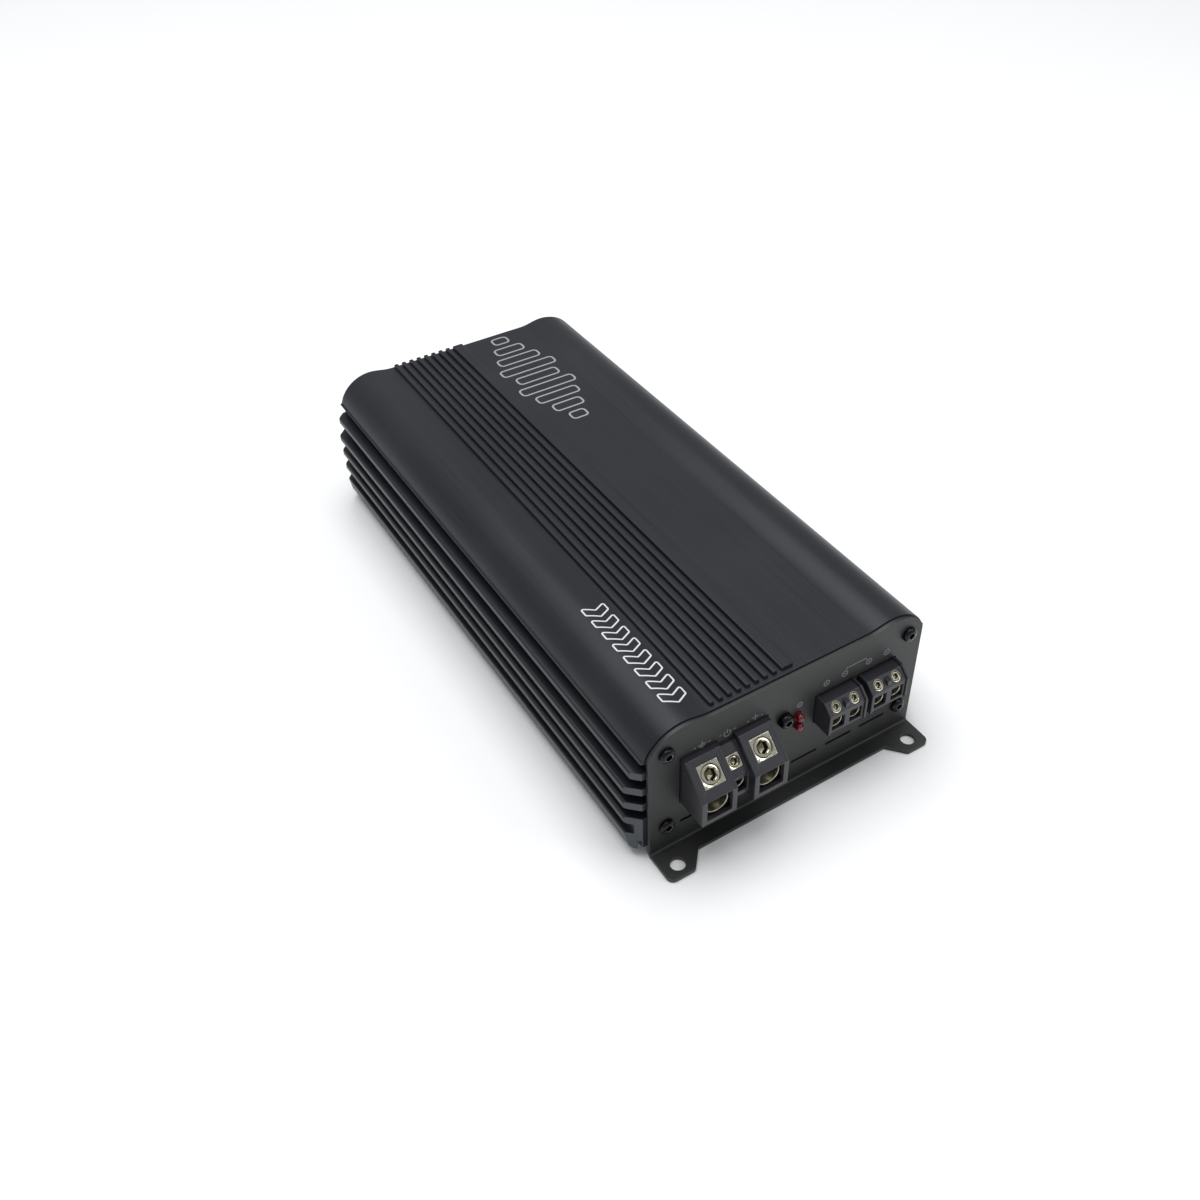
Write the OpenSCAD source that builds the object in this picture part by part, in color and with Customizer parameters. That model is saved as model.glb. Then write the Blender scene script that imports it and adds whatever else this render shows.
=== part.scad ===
// Car amplifier: a single-channel power amplifier in an extruded heatsink case
// with bent end plates, screw terminals at the front and the controls at the rear.
// X runs across, Y along the case (the terminals face -Y) and Z up.
// The origin is the middle of the footprint, on the mounting surface.

/* [Case] */
// Length of the extrusion, between the end plates
case_len = 238; // [230:1:300]
// Width over the fin tips
case_w = 122; // [116:1:160]
// Height of the flat top above the mounting surface
flat_z = 55.2; // [52:0.1:75]
// Gap between the case and the mounting surface
case_lift = 4; // [3:0.5:8]
// How far the fins stand out from the side wall
fin_out = 7.8; // [5:0.1:10]
// Number of fins on each side
fin_count = 4; // [3:1:5]
// Thickness of a fin
fin_t = 3.25; // [2:0.05:4]
// Side wall thickness
wall_t = 2.6; // [2:0.1:4]
// Top wall thickness
top_t = 3.2; // [2.5:0.1:5]
// Radius of the shoulders
shoulder_r = 15.6; // [10:0.1:20]
// Rise of the shoulders above the flat
shoulder_rise = 1.4; // [0:0.1:3]
// Half width of the flat top
crease_x = 31.2; // [25:0.1:36]

/* [Top ribs] */
// Number of grooves between the ribs
groove_count = 8; // [4:1:10]
// Spacing of the grooves
groove_pitch = 3.46; // [2.5:0.01:4]
// Width of a groove
groove_w = 1.66; // [1:0.01:2.2]
// Height of the ribs above the flat
rib_h = 1.4; // [0.6:0.1:2.5]
// Middle of the first groove
groove_x0 = -28; // [-30:0.1:-20]
// Width of the plain rib at the end of the row
wide_rib_w = 4.6; // [2:0.1:8]
// Length of flat left at each end of the ribs
rib_end = 1.7; // [1:0.1:6]

/* [End plates] */
// Distance from the fin tips in to the side of the end plates
plate_in = 6; // [5:0.1:7]
// Sheet thickness of the end plates
plate_t = 1.5; // [1:0.1:2.5]
// How far the case stands above the edge of the plate
plate_inset = 0.7; // [0.3:0.1:1.5]
// Width of the mounting flange
flange_out = 6; // [4:0.1:9]
// Reach of the mounting ears
ear_out = 12.5; // [12.5:0.1:18]
// Width of an ear at its tip
ear_w = 9.7; // [8:0.1:14]
// Distance from the side of the plate to the ear hole
ear_hole_in = 5.9; // [4.5:0.1:8]
// Distance from the plate's face to the ear hole
ear_hole_out = 7.65; // [6:0.05:10]
// Radius of the ear holes
ear_hole_r = 2.6; // [2:0.1:3]
// Length of a vent slit
slit_len = 11.3; // [6:0.1:12]
// Spacing of the vent slits
slit_pitch = 15; // [13:0.1:16]

/* [Screws] */
// Radius of a case screw
screw_r = 1.5; // [1.2:0.1:1.8]
// Radius of a case screw's head
screw_head_r = 2.8; // [2.4:0.1:3.2]
// Height of a case screw's head
screw_head_h = 1.9; // [1.5:0.1:2.5]
// Distance from the side wall's inner face to the corner screws
corner_in = 2; // [1.5:0.1:3]
// Height of the lower corner screws
corner_low_z = 12.9; // [12:0.1:14]
// Depth of the upper corner screws below the flat
corner_top_drop = 8; // [7:0.1:10]

/* [Power terminal] */
// Width of a large pole
pole_w = 13.4; // [12:0.1:14]
// Width of the remote pole between the two large ones
remote_w = 6.7; // [6.6:0.1:9]
// Left side of the power terminal
power_x0 = -43.2; // [-44:0.1:-42]
// Reach of the large poles in front of the plate
power_out = 12.3; // [10:0.1:12.4]
// Reach of the remote pole
remote_out = 9; // [8:0.1:10]
// Radius of the large wire holes
wire_r = 3.9; // [3:0.1:4.2]
// Radius of the large clamping screws
clamp_screw_r = 3.35; // [2.5:0.05:3.4]
// Radius of the remote wire hole
remote_wire_r = 2.1; // [1.7:0.1:2.2]
// Radius of the remote clamping screw
remote_screw_r = 1.9; // [1.5:0.05:2]

/* [Speaker terminals] */
// Spacing of the poles
speaker_pitch = 7.62; // [7:0.01:9]
// Middle of the left speaker terminal
speaker_x0 = 18.2; // [17:0.1:19]
// Gap between the two speaker terminals
speaker_gap = 1.9; // [1:0.1:4]
// Reach in front of the plate
speaker_out = 7.9; // [7:0.1:10]
// Radius of the speaker wire holes
speaker_wire_r = 2.1; // [1.6:0.1:2.2]
// Radius of the speaker clamping screws
speaker_screw_r = 1.6; // [1.3:0.05:1.8]

/* [Controls] */
// Spacing of the rotary controls
knob_pitch = 8.6; // [8.2:0.1:10]
// Radius of a control's shaft
knob_r = 3; // [2.4:0.1:3.3]
// Reach of the control shafts behind the rear plate
knob_out = 3; // [2:0.1:6]
// Outside radius of the signal jacks
jack_r = 4.15; // [3.8:0.05:4.3]
// Spacing of the signal jacks
jack_pitch = 14; // [12:0.1:16]

/* [Board] */
// Thickness of the circuit board
board_t = 1.6; // [1:0.1:2.4]
// Height of the board's underside
board_z = 17; // [17:0.1:18]
// Gap between the board's end and the end plate
board_end = 7; // [6:0.5:12]
// Radius of the storage capacitors
capacitor_r = 7.9; // [6:0.1:8.2]
// Height of the storage capacitors
capacitor_h = 25; // [16:1:27]

/* [Hidden] */
$fn = 48;
eps = 0.01;
fit = 0.3;          // clearance round a piece in a sheet-metal opening
slip = 0.05;        // radial clearance of a turning or sliding fit
free = 0.1;         // clearance round a piece that is pushed in
thread = 0.15;      // how much smaller a screw's hole is than the screw's own radius

board_top = board_z + board_t;

// Case section
tip_x = case_w / 2;
wall_x = tip_x - fin_out;
inside_x = wall_x - wall_t;
shoulder_z = flat_z + shoulder_rise;
lip_z = flat_z - 9;
lip_out = 3.8;
lip_x = wall_x + lip_out;
lip_edge = 0.3;
lip_t = 1.8;
haunch = 7;
fin_round = 0.8;
top_fin_in = 1.5;
root = 1;           // how far fins and ledges run into the wall
shoulder_cz = shoulder_z - shoulder_r;
lip_a = asin((lip_z - shoulder_cz) / shoulder_r);
shoulder_cx = lip_x - 0.7 - shoulder_r * cos(lip_a);
foot_top = 11.6;
notch_h = 3.7;
notch_in = 2.5;
fin_z0 = foot_top + notch_h + 0.95;
fin_top = lip_z - 4.65;
fin_pitch = (fin_top - fin_t - fin_z0) / (fin_count - 1);
foot_x0 = tip_x - 4.3;
foot_x1 = tip_x - 1.3;
foot_edge = 0.6;
cover_t = 1.5;
cover_top = case_lift + 0.2 + cover_t;
slot_w = 1;
slot_top = case_lift + 4.2;
boss_r = 3.6;
corner_top_z = flat_z - corner_top_drop;
end_y = case_len / 2;
plate_y = end_y + plate_t;
plate_x = tip_x - plate_in;
corner_x = inside_x - corner_in;
end_chamfer = tip_x - plate_x - plate_t;
cover_screw_x = wall_x + 0.4;
cover_screw_y = end_y - 14;
cover_gap = 0.2;
cover_slot = [3, 26];
cover_slot_y = [-54, 0, 54];
cover_slot_x = [-24:8:24];

// Screws and the holes that they cut their threads in
case_screw_len = 12;
case_hole = 13;
cover_screw_len = 6.5;
cover_hole = 6;
bar_screw_len = 4;
bar_hole = 5;
head_cone = 1.2;
socket_r = 1.1;
socket_deep = 0.9;

// Bend of the end plates
bend_r = 0.8;
bend_z = plate_t + bend_r;
ear_round = 2.5;
ear_toe = 1.5;
ear_slope = 0.85;
slit_h = 1.2;
slit_z = 11.1;
plate_hole_r = screw_r + 0.2;

// Clamping screws lean towards the front, square to the sloping faces
lean = 43.3;
seat_w = 7.9;
power_low = 20.8;
power_edge = 32;
power_top = 41.5;
remote_low = 22;
remote_edge = 31.9;
remote_top = 39.4;
wire_z = 27.3;
power_back = 13;
housing_foot = plate_t + board_end + 1;
seat_y = -6.9;
seat_z = face_z(seat_y, power_out, power_edge);
remote_seat_y = -5.4;
remote_seat_z = face_z(remote_seat_y, remote_out, remote_edge);
remote_seat_w = 4.8;
remote_clamp_w = 2 * remote_wire_r + 1;
remote_clamp_h = 2 * remote_wire_r + 1.6;
ground_x = power_x0 + pole_w / 2;
remote_x = power_x0 + pole_w + remote_w / 2;
positive_x = power_x0 + pole_w * 1.5 + remote_w;
power_x1 = power_x0 + 2 * pole_w + remote_w;
clamp_front = -power_out + 1.8;
remote_clamp_front = -remote_out + 1.5;
clamp_back = 3.5;
clamp_w = 2 * wire_r + 1.4;
clamp_h = 2 * wire_r + 0.8;
clamp_wall = 1;
tail_t = 1;
solder = 0.9;       // how far tails and leads reach under the board
slot_gap = 0.1;     // clearance round a tail in the board and in a housing
seat_deep = 9.6;

// Speaker terminals
speaker_wall = 1;
speaker_dip = 0.6;
speaker_half = speaker_pitch / 2 + 4.2;
speaker_low = 26.4;
speaker_edge = 35.3;
speaker_top = 38.8;
speaker_wire_z = 30.3;
speaker_seat_y = -5.6;
speaker_seat_z = face_z(speaker_seat_y, speaker_out - speaker_dip, speaker_edge - speaker_dip / 2);
speaker_clamp_w = 2 * speaker_wire_r + 1;
speaker_clamp_h = 2 * speaker_wire_r + 0.7;
speaker_clamp_front = -speaker_out + 1.8;
speaker_clamp_back = 3;
speaker_back = 12;
speaker_step = 2 * speaker_half + speaker_gap;
speaker_x = [for (i = [0, 1], s = [-0.5, 0.5]) speaker_x0 + i * speaker_step + s * speaker_pitch];

// Indicators and the middle screw of the front plate
anchor_x = power_x1 + 7;
anchor_half = 3.4;
anchor_t = 2;
anchor_foot = [plate_t + board_end + 1, plate_t + board_end + 8];
anchor_lift = board_top + anchor_t;
anchor_head_h = screw_head_h + 0.8;
anchor_screw_len = 7;
anchor_z = 35.6;
led_x = anchor_x + 5.6;
led_z = [34.2, 29.8];
led_r = 1.5;
led_dome = -1.3;
led_base = plate_t + 1.5;
led_flange = [plate_t + 0.1, plate_t + 1.2, led_r + 0.35];
lead_w = 0.5;
lead_gap = 2.54;

// Lengths and travels of the clamping screws
screw_edge = 0.5;
screw_sink = 0.3;
large_screw_len = 4.4;
speaker_screw_len = 3.6;
large_drop = 9.5;
remote_drop = 8.5;
speaker_drop = 7.2;
speaker_column_r = 2.3;
power_tail_w = 6;
remote_tail_w = 3;
power_tails = [[ground_x, power_tail_w], [remote_x, remote_tail_w], [positive_x, power_tail_w]];
speaker_tail_w = 3;

// Rear panel, seen from the rear
control_z = 28;
jack_out = 9;
jack_back = 11;
jack_in = plate_t + 6;
jack_wall = 0.45;
stem_r = jack_r - 0.25;
nose_r = jack_r + 1.4;
nose_out = 0.8;
jack_block = 6.5;
contact_r = 1.9;
contact_wall = 0.35;
pin_r = 0.6;
pin_hole_r = 1.2;
rim_gap = 0.2;
pivot_r = 1.5;
knob_x0 = 17.6;
knob_edge = 0.4;
knob_slot = 0.9;
knob_slot_deep = 1.2;
pot_w = 8;
pot_y = plate_t + 2;
pot_len = 7;
pot_h = 4.6;
pivot_len = 4;
jack_x0 = -38;
port_x = -5.5;
port_w = 15;
port_h = 13;
port_lip = 0.4;
port_hole_w = 11.8;
port_hole_h = 8.4;
port_depth = 14;
port_wall = 2;
latch_w = 6;
latch_deep = 6;
latch_h = 1.6;
wire_pitch = 1.27;
port_wire = 0.5;
port_wire_y = 3.5;
switch_x = 5;
switch_pin_w = 3;
switch_foot_w = 4.5;
switch_half = 1.5;
switch_travel = 3;
switch_out = 2;
switch_wall = 1;
switch_end = plate_t + 7;
foot_y = [plate_t + 0.9, plate_t + 3.7];
foot_half = 1.7;

// Inside
board_x = inside_x - 0.4;
board_y = end_y - board_end;
ledge = 2.8;
ledge_t = 1.6;
board_gap = 0.15;
transformer_x = 0;
transformer_y = -46;
transformer_ring = [11, 19, 16, 2.6];
wound_angle = 320;
inductor_x = [-15, 15];
inductor_y = 35;
inductor_ring = [6, 10.5, 10, 1.8];
storage_y = [-10, 8];
storage_pitch = 2 * capacitor_r + 1.4;
input_y = -84;
input_r = 6.3;
input_h = 22;
input_pitch = 15.5;
crimp_z = 2.4;
crimp_r = 0.8;
driver_y = 54;
transistor_pitch = 14;
transistor_count = 8;
transistor_y0 = -86;
transistor_t = 4.6;
transistor_w = 10;
transistor_low = 24;
transistor_h = 15;
leg_w = 0.8;
pad_t = 0.4;
pad_edge = 1;
bar_t = 3;
bar_h = 9;
bar_x = inside_x - pad_t - transistor_t;
bar_fin = round((transistor_low + transistor_h / 2 - fin_z0) / fin_pitch);
bar_z = fin_z0 + bar_fin * fin_pitch + fin_t / 2;
bar_len = transistor_pitch * (transistor_count - 1) + transistor_w;
bar_y0 = transistor_y0 - transistor_w / 2;
driver_t = 1.2;
driver_w = 48;
driver_h = 19;
upright_x = [-17, -6, 6, 17];
upright = [8, 2, 10];
chip_x = [-30, -12, 6, 24];
chip_y = [14, 26];
chip = [6.4, 9.6, 3.2];

black = "#26272a";
anodised = "#34363b";
nickel = "#c9c3ae";
copper = "#b5643a";

function jack_x(i) = jack_x0 + i * jack_pitch;
function knob_x(i) = knob_x0 + i * knob_pitch;
function speaker_mid(i) = speaker_x0 + i * speaker_step;
function led_back(z) = plate_t + board_end + (z == led_z[0] ? 3.5 : 1.5);
function bar_screw_y(i) = transistor_y0 + (i + 0.5) * transistor_pitch;

// ---- helpers ----
function arc(c, r, a0, a1, n) = [for (i = [0:n])
    let (a = a0 + (a1 - a0) * i / n) [c[0] + r * cos(a), c[1] + r * sin(a)]];
function mirrored(points) = [for (i = [len(points) - 1:-1:0]) [-points[i][0], points[i][1]]];

// The S-shaped rise from the flat to the shoulder, lowered by d
function rise_curve(d, n) = [for (i = [0:n])
    let (t = i / n) [crease_x + (shoulder_cx - crease_x) * t,
        flat_z - d + shoulder_rise * (1 - cos(180 * t)) / 2]];

module at_front() translate([0, -plate_y, 0]) children();
module at_rear() rotate([0, 0, 180]) at_front() children();
module along_y(y0, y1) translate([0, y1, 0]) rotate([90, 0, 0]) linear_extrude(y1 - y0) children();
module along_x(x0, x1) translate([x0, 0, 0]) rotate([90, 0, 90]) linear_extrude(x1 - x0) children();
module block(x0, x1, y0, y1, z0, z1) translate([x0, y0, z0]) cube([x1 - x0, y1 - y0, z1 - z0]);
module rod_y(x, z, r, y0, y1) translate([x, y1, z]) rotate([90, 0, 0]) cylinder(r = r, h = y1 - y0);

// A round-cornered rectangle about the origin
module rounded(w, h, r) {
    square([w - 2 * r, h], center = true);
    square([w, h - 2 * r], center = true);
    for (x = [-1, 1], y = [-1, 1]) translate([x * (w / 2 - r), y * (h / 2 - r)]) circle(r);
}

// Stands children on a sloping face: their +Z leaves it at a right angle
module on_slope(x, y, z) translate([x, y, z]) rotate([lean, 0, 0]) children();

// Button-head screw pointing along +Y, its head's seat at y = 0
module case_screw(head_h, length) {
    rim_h = head_h * 0.45;
    difference() {
        union() {
            rotate([90, 0, 0]) cylinder(r = screw_head_r, h = rim_h);
            rotate([90, 0, 0]) translate([0, 0, rim_h])
                cylinder(r1 = screw_head_r, r2 = screw_head_r * 0.68, h = head_h - rim_h);
            rod_y(0, 0, screw_r, 0, length);
        }
        rotate([90, 0, 0]) translate([0, 0, head_h - socket_deep])
            cylinder(r = socket_r, h = head_h, $fn = 6);
    }
}

// ---- case ----
module fin_outline(x1, z) {
    r = fin_round;
    translate([inside_x + root, z]) square([x1 - r - inside_x - root, fin_t]);
    translate([x1 - 2 * r, z + r]) square([2 * r, fin_t - 2 * r]);
    for (h = [r, fin_t - r]) translate([x1 - r, z + h]) circle(r);
}

module half_section() {
    polygon(concat([[0, flat_z - top_t], [0, flat_z]], rise_curve(0, 10),
        arc([shoulder_cx, shoulder_cz], shoulder_r, 90, lip_a, 20),
        [[lip_x, lip_z - lip_edge], [wall_x, lip_z - lip_t], [wall_x, cover_top],
        [inside_x, cover_top], [inside_x, flat_z - top_t - haunch],
        [inside_x - haunch, flat_z - top_t]]));
    for (i = [0:fin_count - 1])
        fin_outline(i == fin_count - 1 ? tip_x - top_fin_in : tip_x, fin_z0 + i * fin_pitch);
    // thick foot with a slot under it
    difference() {
        polygon([[inside_x, cover_top], [foot_x0, cover_top], [foot_x0, case_lift],
            [foot_x1 - foot_edge, case_lift], [foot_x1, case_lift + foot_edge], [tip_x, foot_top],
            [tip_x - notch_in, foot_top], [tip_x - notch_in, fin_z0 + root], [inside_x, fin_z0 + root]]);
        translate([foot_x0, 0]) square([slot_w, slot_top]);
    }
    // grooves that hold the board, and the screw bosses
    for (z = [board_z - board_gap - ledge_t, board_top + board_gap])
        translate([inside_x - ledge, z]) square([ledge + root, ledge_t]);
    for (z = [corner_low_z, corner_top_z]) translate([corner_x, z]) circle(boss_r);
    translate([corner_x, corner_top_z]) square([wall_x - corner_x, flat_z - top_t - corner_top_z]);
}

module top_ribs() {
    rib_w = groove_pitch - groove_w;
    y = end_y - rib_end;
    for (i = [0:groove_count - 1])
        translate([groove_x0 - groove_w / 2 - rib_w + i * groove_pitch, 0, 0])
            block(0, rib_w, -y, y, flat_z - root, flat_z + rib_h);
    translate([groove_x0 + groove_w / 2 + (groove_count - 1) * groove_pitch, 0, 0])
        block(0, wide_rib_w, -y, y, flat_z - root, flat_z + rib_h);
}

module heatsink_case() color(anodised) difference() {
    intersection() {
        union() {
            along_y(-end_y, end_y) { half_section(); mirror([1, 0]) half_section(); }
            top_ribs();
        }
        // the fins' ends are cut at 45 degrees, down to the plate's edge
        linear_extrude(flat_z + 20) polygon([for (s = [[1, 1], [1, -1], [-1, -1], [-1, 1]])
            for (p = s[0] * s[1] > 0 ? [0, 1] : [1, 0])
                [s[0] * (p == 0 ? tip_x - end_chamfer : tip_x + 1),
                 s[1] * (p == 0 ? end_y : end_y - end_chamfer - 1)]]);
    }
    for (s = [-1, 1], x = [-corner_x, corner_x], z = [corner_low_z, corner_top_z])
        rod_y(x, z, screw_r - thread, s > 0 ? end_y - case_hole : -end_y - eps,
            s > 0 ? end_y + eps : case_hole - end_y);
    for (x = [-cover_screw_x, cover_screw_x], y = [-1, 0, 1])
        translate([x, y * cover_screw_y, cover_top - eps]) cylinder(r = screw_r - thread, h = cover_hole);
    for (s = [-1, 1], i = [0:2:transistor_count - 2])
        translate([s * (inside_x - root), bar_screw_y(i), bar_z]) rotate([0, s * 90, 0])
            cylinder(r = screw_r - thread, h = bar_hole + root);
}

module bottom_cover() color(black) difference() {
    x1 = foot_x0 - cover_gap;
    y1 = end_y - 2 * cover_gap;
    block(-x1, x1, -y1, y1, cover_top - cover_t, cover_top);
    for (x = [-cover_screw_x, cover_screw_x], y = [-1, 0, 1]) translate([x, y * cover_screw_y, 0]) {
        cylinder(r = screw_r + free, h = cover_top + 1);
        translate([0, 0, cover_top - cover_t - eps])
            cylinder(r1 = screw_head_r + free, r2 = screw_r + free, h = head_cone + free);
    }
    for (y = cover_slot_y, x = cover_slot_x) translate([x, y, 0])
        linear_extrude(cover_top + 1) rounded(cover_slot[0], cover_slot[1], cover_slot[0] / 2 - eps);
}

module bottom_cover_screws() color("#3a3a3c")
    for (x = [-cover_screw_x, cover_screw_x], y = [-1, 0, 1])
        translate([x, y * cover_screw_y, cover_top - cover_t]) difference() {
            union() {
                cylinder(r = screw_r, h = cover_screw_len);
                cylinder(r1 = screw_head_r, r2 = screw_r, h = head_cone);
            }
            translate([0, 0, -eps]) cylinder(r = socket_r, h = socket_deep, $fn = 6);
        }

// ---- end plates ----
module plate_outline() {
    r = shoulder_r - plate_inset;
    a = acos((plate_x - shoulder_cx) / r);
    half = concat(rise_curve(plate_inset, 10), arc([shoulder_cx, shoulder_cz], r, 90, a, 16),
        [[plate_x, bend_z]]);
    polygon(concat(half, mirrored(half)));
}

// Flange and ears seen from above, with y = 0 at the plate's outer face
module flange_outline() {
    inner = plate_x - ear_w;
    half = concat(arc([plate_x - ear_round, ear_round - ear_out], ear_round, 0, -90, 8),
        arc([inner + ear_toe / 2, ear_toe - ear_out], ear_toe, -90, -135, 4),
        [[inner - (ear_out - flange_out) * ear_slope, -flange_out]]);
    polygon(concat([[plate_x, -bend_r]], half, mirrored(half), [[-plate_x, -bend_r]]));
}

module end_plate_blank() difference() {
    union() {
        along_y(0, plate_t) plate_outline();
        along_x(-plate_x, plate_x) difference() {
            intersection() {
                translate([-bend_r, bend_z]) circle(bend_r + plate_t);
                translate([-bend_r, 0]) square([bend_r + plate_t, bend_z]);
            }
            translate([-bend_r, bend_z]) circle(bend_r);
        }
        linear_extrude(plate_t) flange_outline();
    }
    for (s = [-1, 1]) translate([s * (plate_x - ear_hole_in), -ear_hole_out, -1])
        cylinder(r = ear_hole_r, h = plate_t + 2);
    for (x = [-corner_x, corner_x], z = [corner_low_z, corner_top_z])
        rod_y(x, z, plate_hole_r, -1, plate_t + 1);
    for (i = [-2.5:2.5]) translate([i * slit_pitch, 0, slit_z]) along_y(-1, plate_t + 1)
        rounded(slit_len, slit_h, slit_h / 2 - eps);
}

module window(x0, x1, z0, z1) block(x0 - fit, x1 + fit, -1, plate_t + 1, z0 - fit, z1 + fit);

module front_end_plate() color(black) at_front() difference() {
    end_plate_blank();
    for (x = [power_x0, power_x1 - pole_w]) window(x, x + pole_w, power_low, power_top);
    window(power_x0, power_x1, power_low, remote_top);
    for (i = [0, 1]) window(speaker_mid(i) - speaker_half, speaker_mid(i) + speaker_half,
        speaker_low, speaker_top);
    for (z = led_z) rod_y(led_x, z, led_r + free, -1, plate_t + 1);
    rod_y(anchor_x, anchor_z, plate_hole_r, -1, plate_t + 1);
}

module rear_end_plate() color(black) at_rear() difference() {
    end_plate_blank();
    for (i = [0, 1]) rod_y(jack_x(i), control_z, nose_r + fit, -1, plate_t + 1);
    window(port_x - port_w / 2, port_x + port_w / 2, control_z - port_h / 2, control_z + port_h / 2);
    window(switch_x, switch_x + switch_pin_w + switch_travel, control_z - switch_half,
        control_z + switch_half);
    for (i = [0:3]) rod_y(knob_x(i), control_z, knob_r + fit, -1, plate_t + 1);
}

module plate_screws() for (x = [-corner_x, corner_x], z = [corner_low_z, corner_top_z])
    translate([x, 0, z]) case_screw(screw_head_h, case_screw_len);
module front_plate_screws() color("#2b2b2d") at_front() plate_screws();
module rear_plate_screws() color("#2b2b2d") at_rear() plate_screws();

module anchor_bracket() color("silver") at_front() difference() {
        along_x(anchor_x - anchor_half, anchor_x + anchor_half) polygon([[plate_t, anchor_lift],
            [anchor_foot[0], anchor_lift], [anchor_foot[0], board_top], [anchor_foot[1], board_top],
            [anchor_foot[1], anchor_lift + anchor_t], [plate_t + anchor_t, anchor_lift + anchor_t],
            [plate_t + anchor_t, anchor_z + anchor_half], [plate_t, anchor_z + anchor_half]]);
    rod_y(anchor_x, anchor_z, screw_r, plate_t - 1, plate_t + anchor_t + 1);
}
module anchor_screw() color("#2b2b2d") at_front() translate([anchor_x, 0, anchor_z])
    case_screw(anchor_head_h, anchor_screw_len);

// ---- board ----
module main_board() color("#1f5b33") difference() {
    block(-board_x, board_x, -board_y, board_y, board_z, board_top);
    at_front() {
        for (t = power_tails) tail_slot(t[0], t[1], power_back);
        for (x = speaker_x) tail_slot(x, speaker_tail_w, speaker_back);
        for (z = led_z) tail_slot(led_x, 4, led_back(z));
    }
    at_rear() for (i = [0, 1]) tail_slot(jack_x(i), 2, jack_back);
}
module tail_slot(x, w, back)
    block(x - w / 2 - slot_gap, x + w / 2 + slot_gap, back - slot_gap, back + tail_t + slot_gap,
        board_z - 1, board_top + 1);

// ---- terminals ----
function face_z(y, out, edge) = edge + (out + y) * tan(lean);
module pole_section(back, out, low, edge, top)
    polygon([[back, low], [-out, low], [-out, edge], [-out + (top - edge) / tan(lean), top], [back, top]]);

// Room for a clamp: its wire hole's block and the column up to the sloping face
module clamp_space(x, w, h, z, back, out, tail_w) {
    g = slot_gap;
    block(x - w / 2 - g, x + w / 2 + g, -out - 1, back + g, z - h / 2 - g, z + h / 2 + g);
    block(x - tail_w / 2 - g, x + tail_w / 2 + g, back, power_back + 1, z - tail_t / 2 - g,
        z + tail_t / 2 + g);
}
module column_space(x, y, z) on_slope(x, y, z) translate([0, 0, -seat_deep - slot_gap])
    linear_extrude(seat_deep + 4) children();

module power_terminal_housing() color(black) at_front() difference() {
    union() {
        for (x = [power_x0, power_x1 - pole_w]) along_x(x, x + pole_w)
            pole_section(power_back, power_out, power_low, power_edge, power_top);
        along_x(power_x0 + pole_w - eps, power_x1 - pole_w + eps)
            pole_section(power_back, remote_out, remote_low, remote_edge, remote_top);
        block(power_x0, power_x1, housing_foot, power_back, board_top, remote_low + 1);
    }
    for (x = [ground_x, positive_x]) {
        clamp_space(x, clamp_w, clamp_h, wire_z, clamp_back, power_out, power_tail_w);
        column_space(x, seat_y, seat_z) square(seat_w + 2 * slot_gap, center = true);
    }
    clamp_space(remote_x, remote_clamp_w, remote_clamp_h, wire_z, clamp_back, remote_out,
        remote_tail_w);
    column_space(remote_x, remote_seat_y, remote_seat_z)
        square(remote_seat_w + 2 * slot_gap, center = true);
}

// A plated block with a wire hole along Y and a column for its leaning screw
module wire_clamp(x, w, h, z, front, back, bore, y, top, hole, drop) difference() {
    union() {
        block(x - w / 2, x + w / 2, front, back, z - h / 2, z + h / 2);
        intersection() {
            on_slope(x, y, top) translate([0, 0, -seat_deep]) linear_extrude(seat_deep) children();
            block(x - w, x + w, front, back, z, top + seat_deep);
        }
    }
    rod_y(x, z, bore, front - 1, back - clamp_wall);
    on_slope(x, y, top) translate([0, 0, -drop]) cylinder(r = hole + slip, h = drop + 3);
}

module large_clamp(x) color(nickel) at_front()
    wire_clamp(x, clamp_w, clamp_h, wire_z, clamp_front, clamp_back, wire_r, seat_y, seat_z,
        clamp_screw_r, large_drop) square(seat_w, center = true);
module ground_clamp() large_clamp(ground_x);
module positive_clamp() large_clamp(positive_x);
module remote_clamp() color(nickel) at_front()
    wire_clamp(remote_x, remote_clamp_w, remote_clamp_h, wire_z, remote_clamp_front, clamp_back,
        remote_wire_r, remote_seat_y, remote_seat_z, remote_screw_r, remote_drop)
        square(remote_seat_w, center = true);

// A clamping screw with a hexagon socket, its top a little below the seat
module set_screw(x, y, top, r, length) color(nickel) at_front()
    on_slope(x, y, top) translate([0, 0, -length - screw_sink]) difference() {
        union() {
            translate([0, 0, screw_edge]) cylinder(r = r, h = length - screw_edge);
            cylinder(r1 = r - screw_edge, r2 = r, h = screw_edge);
        }
        translate([0, 0, length - r * 0.9]) cylinder(r = r * 0.56, h = r, $fn = 6);
    }
module ground_screw() set_screw(ground_x, seat_y, seat_z, clamp_screw_r, large_screw_len);
module positive_screw() set_screw(positive_x, seat_y, seat_z, clamp_screw_r, large_screw_len);
module remote_screw() set_screw(remote_x, remote_seat_y, remote_seat_z, remote_screw_r,
    large_screw_len);

// Flat tails that lead from the clamps down through the board
module terminal_tail(x, w, z, clamp_end, back) {
    block(x - w / 2, x + w / 2, clamp_end, back + tail_t, z - tail_t / 2, z + tail_t / 2);
    block(x - w / 2, x + w / 2, back, back + tail_t, board_z - solder, z + tail_t / 2);
}
module power_terminal_tails() color(copper) at_front()
    for (t = power_tails) terminal_tail(t[0], t[1], wire_z, clamp_back, power_back);
module speaker_terminal_tails() color(copper) at_front()
    for (x = speaker_x) terminal_tail(x, speaker_tail_w, speaker_wire_z, speaker_clamp_back, speaker_back);

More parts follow.
